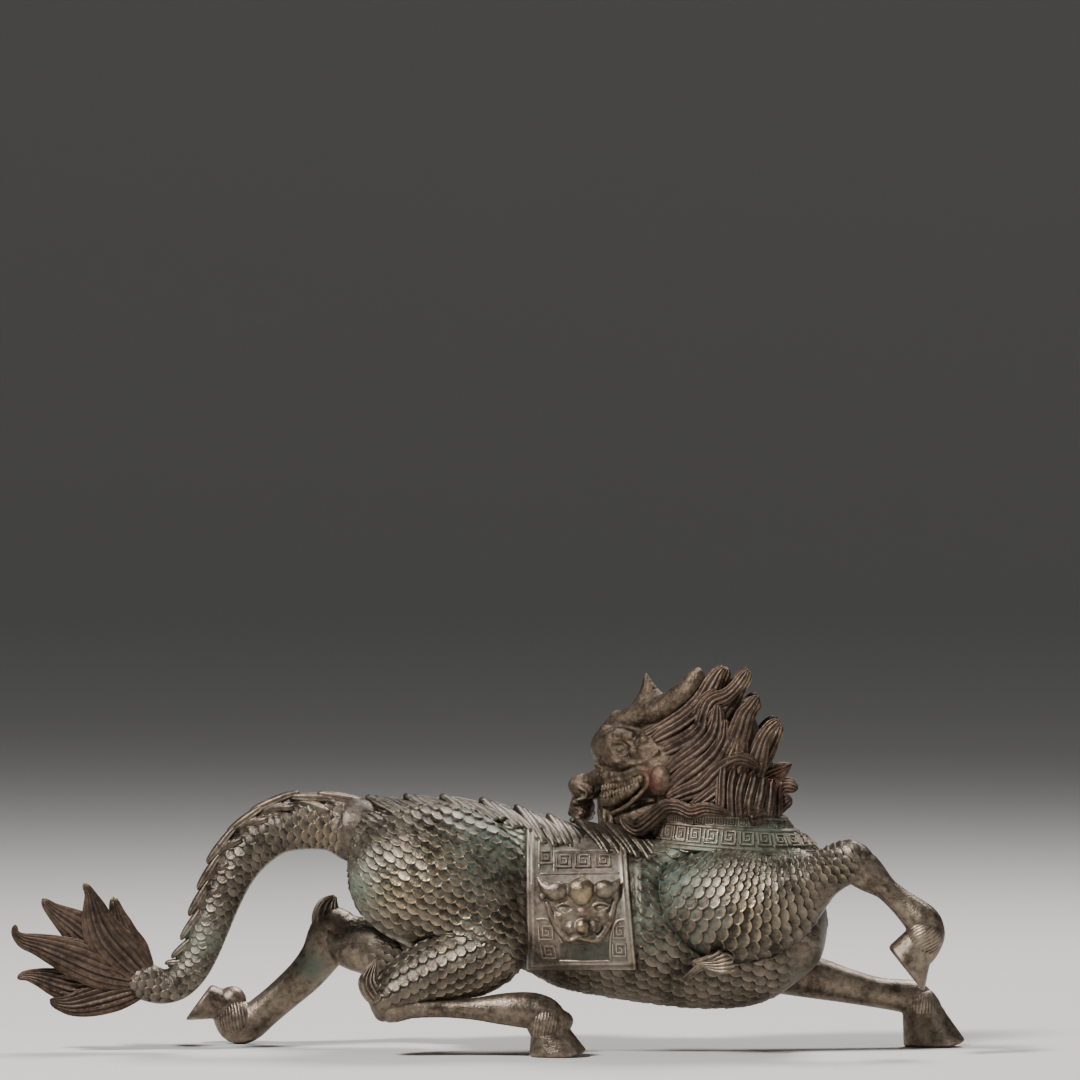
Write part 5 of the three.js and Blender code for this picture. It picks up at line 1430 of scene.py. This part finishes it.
def make_cloth():
    """The saddle cloth over the back, with its border of two beads; under the mask on each flank a patch is
    painted dark as the mask's shadow.
    """
    columns, rows = 64, 176
    part, share = np.meshgrid(np.linspace(0, 1, columns), np.linspace(0, 1, rows), indexing="ij")
    along = CLOTH["from"] + part * (cloth_end(share) - CLOTH["from"])
    arc = share * CLOTH_GIRTH
    edge = np.minimum.reduce([along - CLOTH["from"], cloth_end(share) - along, arc, CLOTH_GIRTH - arc])
    proud = CLOTH["thick"] + CLOTH["bead"] * np.maximum(bead(edge, 0.16, 0.16), bead(edge, 0.62, 0.15))
    top = on_torso(along, share, proud)
    under = on_torso(along, share, -BURIED)
    points = np.vstack([top.reshape(-1, 3), under.reshape(-1, 3)])
    count = columns * rows
    i, j = np.meshgrid(np.arange(columns - 1), np.arange(rows - 1), indexing="ij")
    a, b, c, d = (x.ravel() for x in (i * rows + j, (i + 1) * rows + j, (i + 1) * rows + j + 1,
                                      i * rows + j + 1))
    outside = np.stack([a, b, c, d], 1)
    inside = np.stack([d, c, b, a], 1) + count
    rim = np.concatenate([
        np.arange(rows), (np.arange(1, columns)) * rows + rows - 1,
        (columns - 1) * rows + np.arange(rows - 2, -1, -1), np.arange(columns - 2, 0, -1) * rows])
    after = np.roll(rim, -1)
    wall = np.stack([rim, after, after + count, rim + count], 1)
    faces = np.vstack([outside, inside, wall])
    box_middle = points.mean(0)
    normals = normals_of(points, faces)
    if ((points[:count] - box_middle) * normals[:count]).sum() < 0:
        faces = faces[:, ::-1]
    across, up = ((top / PERCENT + MIDDLE)[..., i] for i in (1, 2))
    # Painted shadow of the mask on the cloth under it
    mask_shadow = (ramp(along, MASK_SHADOW_PATCH[0] - 0.4, MASK_SHADOW_PATCH[0]) * (1 - ramp(along, MASK_SHADOW_PATCH[1], MASK_SHADOW_PATCH[1] + 0.4))
             * ramp(up, MASK_SHADOW_PATCH[2] - 0.3, MASK_SHADOW_PATCH[2]) * (1 - ramp(up, MASK_SHADOW_PATCH[3], MASK_SHADOW_PATCH[3] + 0.6)))
    # The beads get a painted highlight and the flat cloth between them a little painted shade
    raised = ramp(proud, CLOTH["thick"] + 0.08, CLOTH["thick"] + 0.24)
    plain = np.zeros(count)
    values = {"hollow": np.concatenate([np.maximum(0.25 * (1 - raised), 0.75 * mask_shadow).ravel(), plain]),
              "proud": np.concatenate([raised.ravel(), plain]), **paint(points)}
    cast("saddle_cloth", points, faces, values, CLOTH_BRONZE)


def on_collar(angle, up, proud):
    """Points round the neck, at a height that tilts down toward the chest."""
    middle, wide, long = neck_at(up)
    tilted = up + COLLAR["tilt"] * (middle + long * np.cos(angle) - COLLAR["middle"])
    middle, wide, long = neck_at(tilted)
    return place(np.stack([middle + (long + proud) * np.cos(angle), (wide + proud) * np.sin(angle), tilted],
                          -1))


def make_collar():
    """A band round the foot of the neck with two rows of fret, edged and parted by beads."""
    around, levels = 200, 46
    ups = np.linspace(COLLAR["low"], COLLAR["high"], levels)
    beads = [(COLLAR["low"] + 0.18, 0.18), (COLLAR["low"] + 0.6, 0.16), (COLLAR["split"], 0.16),
             (COLLAR["high"] - 0.18, 0.18)]
    proud = COLLAR["thick"] + COLLAR["bead"] * np.maximum.reduce([bead(ups, *b) for b in beads])
    ups = np.concatenate([ups, ups[::-1]])
    proud = np.concatenate([proud, np.full(levels, -BURIED)])
    angle = np.arange(around) / around * math.tau
    points = on_collar(angle[None], ups[:, None] + 0 * angle, proud[:, None]).reshape(-1, 3)
    n = len(ups)
    i, j = np.meshgrid(np.arange(n), np.arange(around), indexing="ij")
    i2, j2 = (i + 1) % n, (j + 1) % around
    faces = np.stack([x.ravel() for x in (i * around + j, i * around + j2, i2 * around + j2,
                                          i2 * around + j)], 1)
    # The flat bands of the collar get a little painted shade and its beads a painted highlight
    values = {"hollow": np.repeat(np.where(proud < COLLAR["thick"] + 0.02, 0.3, 0.0), around),
              "proud": np.repeat(ramp(proud, 0.35, 0.5), around) * 0.8, **paint(points)}
    cast("collar", points, faces, values, LEG_BRONZE)


def stamp_tree():
    """Puts a copy of a shape on every point, turned and sized as the point says."""
    tree = bpy.data.node_groups.new("stamped_shapes", "GeometryNodeTree")
    add_sockets(tree, {"Places": "Geometry", "Shape": "Object", "Overall Size": "Float",
                       "Material": "Material"}, "Result")
    given = node(tree, "NodeGroupInput")
    shape = node(tree, "GeometryNodeObjectInfo", {"Object": given.outputs["Shape"]})
    turn = node(tree, "GeometryNodeInputNamedAttribute", {"Name": "turn"}, data_type="FLOAT_VECTOR")
    turned = node(tree, "FunctionNodeEulerToRotation", {"Euler": turn})
    size = node(tree, "GeometryNodeInputNamedAttribute", {"Name": "size"}, data_type="FLOAT")
    sized = node(tree, "ShaderNodeMath", {0: size, 1: given.outputs["Overall Size"]}, operation="MULTIPLY")
    spots = node(tree, "GeometryNodeMeshToPoints", {"Mesh": given.outputs["Places"]})
    copies = node(tree, "GeometryNodeInstanceOnPoints", {
        "Points": spots, "Instance": shape.outputs["Geometry"], "Rotation": turned, "Scale": sized})
    plain = node(tree, "GeometryNodeRealizeInstances", {0: copies})
    clad = node(tree, "GeometryNodeSetMaterial", {"Geometry": plain, "Material": given.outputs["Material"]})
    node(tree, "NodeGroupOutput", {"Result": clad})
    return tree


STAMP = stamp_tree()


def stamp(name, shape, spots, axes, sizes, material):
    """A piece made of copies of a shape at places in mm, each with its own three axes and its size."""
    mesh = bpy.data.meshes.new(name + "_places")
    mesh.from_pydata([list(spot * MM) for spot in spots], [], [])
    turns = [list(Matrix([list(axis) for axis in three]).transposed().to_euler()) for three in axes]
    turns = np.array(turns, np.float32).ravel()
    mesh.attributes.new("turn", "FLOAT_VECTOR", "POINT").data.foreach_set("vector", turns)
    mesh.attributes.new("size", "FLOAT", "POINT").data.foreach_set("value", np.array(sizes, np.float32))
    thing, model = show(name, mesh), show(name + "_shape", shape)
    modifier = thing.modifiers.new("stamp", "NODES")
    modifier.node_group = STAMP
    set_inputs(modifier, STAMP, {"Shape": model, "Overall Size": 1.0, "Material": material})
    bake_down(thing)
    bpy.data.objects.remove(model)
    points = np.empty(len(thing.data.vertices) * 3, np.float32)
    thing.data.vertices.foreach_get("co", points)
    for key, value in paint(points.reshape(-1, 3).astype(float) / MM).items():
        thing.data.attributes.new(key, "FLOAT", "POINT").data.foreach_set("value", value.astype(np.float32))
    finish_piece(thing)
    return thing


# One key of the fret as strokes on a square that runs from -1 to 1, and the half width and height of a stroke
KEY = [(-1, 1), (-1, -1), (1, -1), (1, 1), (-0.42, 1), (-0.42, -0.4), (0.42, -0.4), (0.42, 0.35), (0, 0.35)]
KEY_STROKE = 0.13
KEY_HIGH = 0.24
# Keys on each side of the cloth: along, up and half size in hundredths
CLOTH_KEYS = [
    (55.5, 20.3, 0.72), (57.4, 19.9, 0.72), (59.4, 19.9, 0.74), (61.5, 19.9, 0.72), (55.6, 12.9, 0.72),
    (55.9, 10.9, 0.72), (63.2, 11.1, 0.66), (63.2, 12.9, 0.6),
]
# Rows of keys round the collar: their height, half size and number
COLLAR_KEYS = [(22.55, 0.68, 28), (24.15, 0.42, 40)]
# Raised lines on each side of the cloth, as places along and up: over and under the keys, and round the mask
CLOTH_LINES = [
    [[56.5, 20.9], [59.0, 20.95], [62.8, 20.95]], [[55.0, 18.75], [59.0, 18.75], [63.2, 18.75]],
    [[56.45, 18.8], [56.45, 21.6]], [[54.9, 19.2], [54.9, 22.0]],
    [[54.6, 14.2], [55.6, 14.25], [56.3, 13.8], [56.8, 12.7], [57.3, 11.8]],
    [[62.3, 10.1], [62.3, 12.4], [62.9, 13.9], [63.9, 14.2]], [[56.8, 9.95], [59.5, 9.9], [62.3, 9.95]],
]
LINE_HALF = 0.13


def key_mesh():
    """Raised bars along a key's strokes, each a closed box, painted dark up their sides from the foot as
    shade and lighter on top as a painted highlight.
    """
    points, faces = [], []
    for (x0, y0), (x1, y1) in zip(KEY[:-1], KEY[1:]):
        low = np.array([min(x0, x1), min(y0, y1)]) - KEY_STROKE
        high = np.array([max(x0, x1), max(y0, y1)]) + KEY_STROKE
        s = len(points)
        for z, shrink in ((-KEY_HIGH * 2, 0.0), (KEY_HIGH, 0.05)):
            a, b = low + shrink, high - shrink
            points += [(a[0], a[1], z), (b[0], a[1], z), (b[0], b[1], z), (a[0], b[1], z)]
        faces += [(s + 3, s + 2, s + 1, s), (s + 4, s + 5, s + 6, s + 7)]
        faces += [(s + i, s + (i + 1) % 4, s + 4 + (i + 1) % 4, s + 4 + i) for i in range(4)]
    points = np.array(points)
    return to_mesh("fret_key", points, np.array(faces), {"hollow": np.where(points[:, 2] < 0, 0.9, 0.0),
                                                         "proud": np.where(points[:, 2] > 0, 0.8, 0.0)})


def on_side(along, up, sign, proud):
    """A point on the cloth's flank, on the right for sign 0 and on the left for 1."""
    middle, wide, high = torso_at(along)
    low = np.arcsin((CLOTH["low"] - middle) / high)
    share = (np.arcsin(np.clip((up - middle) / high, -1, 1)) - low) / (math.pi - 2 * low)
    return on_torso(np.asarray(along, float), 1 - share if sign else share, proud)


def make_fret():
    """The key fret of the cloth and the collar."""
    spots, axes, sizes = [], [], []

    def lay(spot, right, above, size):
        right = unit(right)
        out = unit(np.cross(right, above))
        spots.append(spot)
        axes.append([right, np.cross(out, right), out])
        sizes.append(size * PERCENT)

    for sign in (0, 1):
        for along, up, size in CLOTH_KEYS:
            here, ahead, above = (on_side(along + a, up + b, sign, CLOTH["thick"])
                                  for a, b in ((0, 0), (0.2, 0), (0, 0.2)))
            lay(here, (here - ahead) if sign else (ahead - here), above - here, size)
    for up, size, count in COLLAR_KEYS:
        for i in range(count):
            angle = i / count * math.tau
            here, ahead, above = (on_collar(np.array(angle + a), np.array(up + b), COLLAR["thick"])
                                  for a, b in ((0, 0), (0.02, 0), (0, 0.2)))
            lay(here, ahead - here, above - here, size)
    thing = stamp("key_fret", key_mesh(), spots, axes, sizes, CLOTH_BRONZE)
    thing.data.shade_flat()


def make_cloth_lines():
    """The raised lines of the cloth."""
    parts = []
    for sign in (0, 1):
        for line in CLOTH_LINES:
            rows = smooth(line, 6)
            path = on_side(rows[:, 0], rows[:, 1], sign, CLOTH["thick"])
            rows = np.hstack([path / PERCENT + MIDDLE, np.full((len(path), 2), LINE_HALF)])
            parts.append(ridged_loft(rows, ridges=0, depth=0.0, sides=8, steps=1))
    make_locks("cloth_lines", parts, CLOTH_BRONZE)


# The beast mask: offsets along and up from its middle, how far out it stands, half sizes along, out and up
MASK_FORMS = [
    [-2.75, 2.2, 0.55, 1.25, 0.85, 1.05], [-0.26, 2.3, 0.7, 1.45, 1.05, 1.3],
    [-0.2, 1.4, 0.6, 0.95, 0.9, 0.9], [2.14, 2.36, 0.55, 1.15, 0.85, 1.0],
    [-4.3, 1.6, 0.2, 0.38, 0.4, 0.45], [3.35, 1.8, 0.25, 0.42, 0.45, 0.85],
    [-2.3, -0.7, 0.5, 0.85, 0.55, 0.95], [2.0, -0.6, 0.5, 0.8, 0.55, 0.95],
    [-0.07, 0.0, 0.65, 0.72, 0.6, 0.62], [-0.07, -1.5, 0.85, 0.85, 0.75, 0.85],
    [-1.25, -1.65, 0.75, 0.55, 0.5, 0.6], [1.15, -1.5, 0.75, 0.62, 0.5, 0.62],
    [0.0, -2.5, 0.45, 1.7, 0.6, 0.6],
]
# The plate of the face from brow to chin: a place, then half sizes out and along
MASK_FACE = [[-0.25, 2.2, 0.0, 0.8, 3.6], [-0.3, 0.6, 0.0, 0.95, 3.6], [-0.2, -1.0, 0.0, 0.95, 3.0],
             [-0.1, -2.0, 0.0, 0.9, 2.45], [0.0, -2.8, 0.0, 0.6, 1.7]]
# The short ears, the outer edges of the cheeks, and the hollows of the eyes with their eyeballs
MASK_EDGES = [
    [[-3.0, 2.0, 0.45, 0.8, 0.85], [-3.8, 2.4, 0.4, 0.65, 0.65], [-4.3, 2.9, 0.3, 0.4, 0.4],
     [-4.72, 3.55, 0.25, 0.14, 0.14]],
    [[2.6, 2.3, 0.45, 0.75, 0.8], [3.2, 2.65, 0.4, 0.55, 0.55], [3.5, 3.0, 0.3, 0.36, 0.36],
     [3.7, 3.4, 0.25, 0.14, 0.14]],
    [[-3.75, 0.9, 0.3, 0.35, 0.3], [-3.25, -0.6, 0.45, 0.45, 0.4], [-2.5, -1.9, 0.5, 0.45, 0.42],
     [-1.7, -2.65, 0.55, 0.4, 0.38]],
    [[3.2, 1.1, 0.3, 0.35, 0.3], [2.85, -0.5, 0.45, 0.45, 0.4], [2.25, -1.9, 0.5, 0.45, 0.42],
     [1.6, -2.65, 0.55, 0.4, 0.38]],
]
MASK_EYES = [[-2.0, 0.42, 0.95], [1.8, 0.55, 0.95]]
# Raised lines: upper and lower lids, the lip with its curled corners and the curls of the nostrils
MASK_LINES = [
    [[-2.85, 0.5, 0.7, 0.1, 0.11], [-2.3, 0.86, 0.82, 0.14, 0.14], [-1.6, 0.88, 0.88, 0.14, 0.14],
     [-1.0, 0.5, 0.85, 0.1, 0.11]],
    [[-2.75, 0.35, 0.75, 0.1, 0.12], [-1.95, -0.05, 0.85, 0.14, 0.14], [-1.1, 0.25, 0.85, 0.1, 0.12]],
    [[0.85, 0.55, 0.85, 0.1, 0.11], [1.4, 0.95, 0.88, 0.14, 0.14], [2.1, 0.97, 0.82, 0.14, 0.14],
     [2.7, 0.7, 0.7, 0.1, 0.11]],
    [[0.95, 0.35, 0.85, 0.1, 0.12], [1.75, 0.05, 0.85, 0.14, 0.14], [2.55, 0.5, 0.75, 0.1, 0.12]],
    [[-2.45, -2.2, 0.5, 0.14, 0.16], [-2.0, -2.8, 0.6, 0.2, 0.2], [-1.2, -2.85, 0.75, 0.22, 0.22],
     [-0.5, -2.6, 0.9, 0.2, 0.2], [0.2, -2.85, 0.9, 0.22, 0.22], [1.1, -2.95, 0.75, 0.22, 0.22],
     [1.9, -2.8, 0.6, 0.2, 0.2], [2.3, -2.3, 0.5, 0.14, 0.16]],
    [[-0.85, -1.25, 0.95, 0.12, 0.12], [-1.35, -1.1, 0.95, 0.14, 0.14], [-1.8, -1.6, 0.85, 0.14, 0.14],
     [-1.5, -2.2, 0.85, 0.12, 0.12]],
    [[0.75, -1.1, 0.95, 0.12, 0.12], [1.3, -0.95, 0.95, 0.14, 0.14], [1.75, -1.45, 0.85, 0.14, 0.14],
     [1.45, -2.05, 0.85, 0.12, 0.12]],
]


def make_masks():
    """The beast mask on the right flank, and its mirror image on the left."""
    def at(spots):
        spots = np.asarray(spots, float)
        return place(np.stack([MASK["along"] + spots[..., 0], -MASK["out"] - spots[..., 2],
                               MASK["up"] + spots[..., 1]], -1))

    clay = Clay(at([-6.5, -5, 2.8]), at([6.5, 5.5, -2.0]), GRAIN["mask"])
    clay.tube(MASK_FACE, 0.0, at=at)
    for row in MASK_FORMS:
        clay.egg(row, 0.55, at=at)
    for rows in MASK_EDGES:
        clay.tube(rows, 0.3, at=at)
    for x, z, out in MASK_EYES:
        clay.egg([x, z, out + 0.1, 0.85, 0.38, 0.42], 0.2, cut=True, at=at)
        clay.egg([x, z - 0.05, out - 0.4, 0.6, 0.38, 0.28], 0.1, at=at)
    for rows in MASK_LINES:
        clay.tube(rows, 0.2, at=at)
    points, faces, _, values = surface(clay, 1.2)
    cast("mask_right", points, faces, values, LEG_BRONZE, MOST["mask"])
    other = points.copy()
    other[:, 1] = -other[:, 1] - 2 * MIDDLE[1] * PERCENT
    cast("mask_left", other, faces[:, ::-1], values, LEG_BRONZE, MOST["mask"])


# The floor's profile, in metres from its middle and up: flat, then curving up to a round backdrop
FLOOR = [
    (0.0, 0.0), (2.0, 0.0), (4.6, 0.0), (5.3, 0.06), (5.9, 0.24), (6.4, 0.56), (6.7, 1.0), (6.85, 1.6),
    (6.9, 3.4),
]
FLOOR_SIDES = 96
PAPER_COLOUR = "#d5d2cc"
SKY = {"colour": "#8e9196", "strength": 0.32}
# Lamps: where each hangs in metres, its size in metres and its power in watts
LAMPS = [("key", (-0.6, -0.7, 0.95), 0.2, 23.0), ("fill", (1.0, -0.8, 0.35), 0.6, 2.2),
         ("top", (0.3, 0.55, 0.95), 0.4, 12.0)]


def make_floor():
    """A plain pale floor that curves up all round."""
    points = [(0.0, 0.0, 0.0)]
    for away, up in FLOOR[1:]:
        for turn in np.arange(FLOOR_SIDES) / FLOOR_SIDES * math.tau:
            points.append((away * math.cos(turn), away * math.sin(turn), up))
    faces = [(0, 1 + i, 1 + (i + 1) % FLOOR_SIDES) for i in range(FLOOR_SIDES)]
    for ring in range(len(FLOOR) - 2):
        inner, outer = 1 + ring * FLOOR_SIDES, 1 + (ring + 1) * FLOOR_SIDES
        for i in range(FLOOR_SIDES):
            k = (i + 1) % FLOOR_SIDES
            faces.append((inner + i, outer + i, outer + k, inner + k))
    mesh = bpy.data.meshes.new("floor")
    mesh.from_pydata(points, [], faces)
    mesh.shade_smooth()
    floor = show("floor", mesh)
    paper = bpy.data.materials.new("matt_paper_backdrop")
    paper.use_nodes = True
    shader = paper.node_tree.nodes["Principled BSDF"]
    shader.inputs["Base Color"].default_value = srgb(PAPER_COLOUR)
    shader.inputs["Roughness"].default_value = 0.9
    mesh.materials.append(paper)


def make_lamps():
    """Soft studio lamps and a dim, even sky."""
    aim = Vector((0.0, 0.0, 0.05))
    for name, spot, size, power in LAMPS:
        light = bpy.data.lights.new(name, "AREA")
        light.energy = power
        light.size = size
        lamp = bpy.data.objects.new(name, light)
        lamp.location = spot
        lamp.rotation_euler = (aim - Vector(spot)).to_track_quat("-Z", "Y").to_euler()
        bpy.context.scene.collection.objects.link(lamp)
    world = bpy.data.worlds.new("studio")
    world.use_nodes = True
    world.node_tree.nodes["Background"].inputs["Color"].default_value = srgb(SKY["colour"])
    world.node_tree.nodes["Background"].inputs["Strength"].default_value = SKY["strength"]
    bpy.context.scene.world = world


# The camera: the width of its sensor in mm, then in metres the width of its field at the figure, how far off
# it stands, the heights it stands and aims at, and where it stands along the figure
SENSOR = 36.0
VIEW = {"wide": 0.2916, "far": 3.0, "stand": 0.194, "aim": 0.138, "along": 0.01307}


def make_camera():
    """A long lens, level with the figure and square to its flank."""
    lens = bpy.data.cameras.new("camera")
    lens.sensor_width = SENSOR
    lens.sensor_fit = "HORIZONTAL"
    lens.lens = SENSOR * VIEW["far"] / VIEW["wide"]
    lens.clip_start = 0.01
    camera = bpy.data.objects.new("camera", lens)
    camera.location = (VIEW["along"], -VIEW["far"], VIEW["stand"])
    aim = Vector((VIEW["along"], 0.0, VIEW["aim"]))
    camera.rotation_euler = (aim - camera.location).to_track_quat("-Z", "Y").to_euler()
    bpy.context.scene.collection.objects.link(camera)
    bpy.context.scene.camera = camera


make_body()
make_tail()
for leg in LEGS:
    make_leg(leg)
make_feathers()
make_tuft()
for kind in BACK_LEAVES:
    make_back_crest(kind)
make_tail_crest()
make_mane_mass()
make_mane()
make_side_locks()
make_leg_tufts()
make_head()
make_cloth()
make_collar()
make_fret()
make_cloth_lines()
make_masks()
make_floor()
make_lamps()
make_camera()
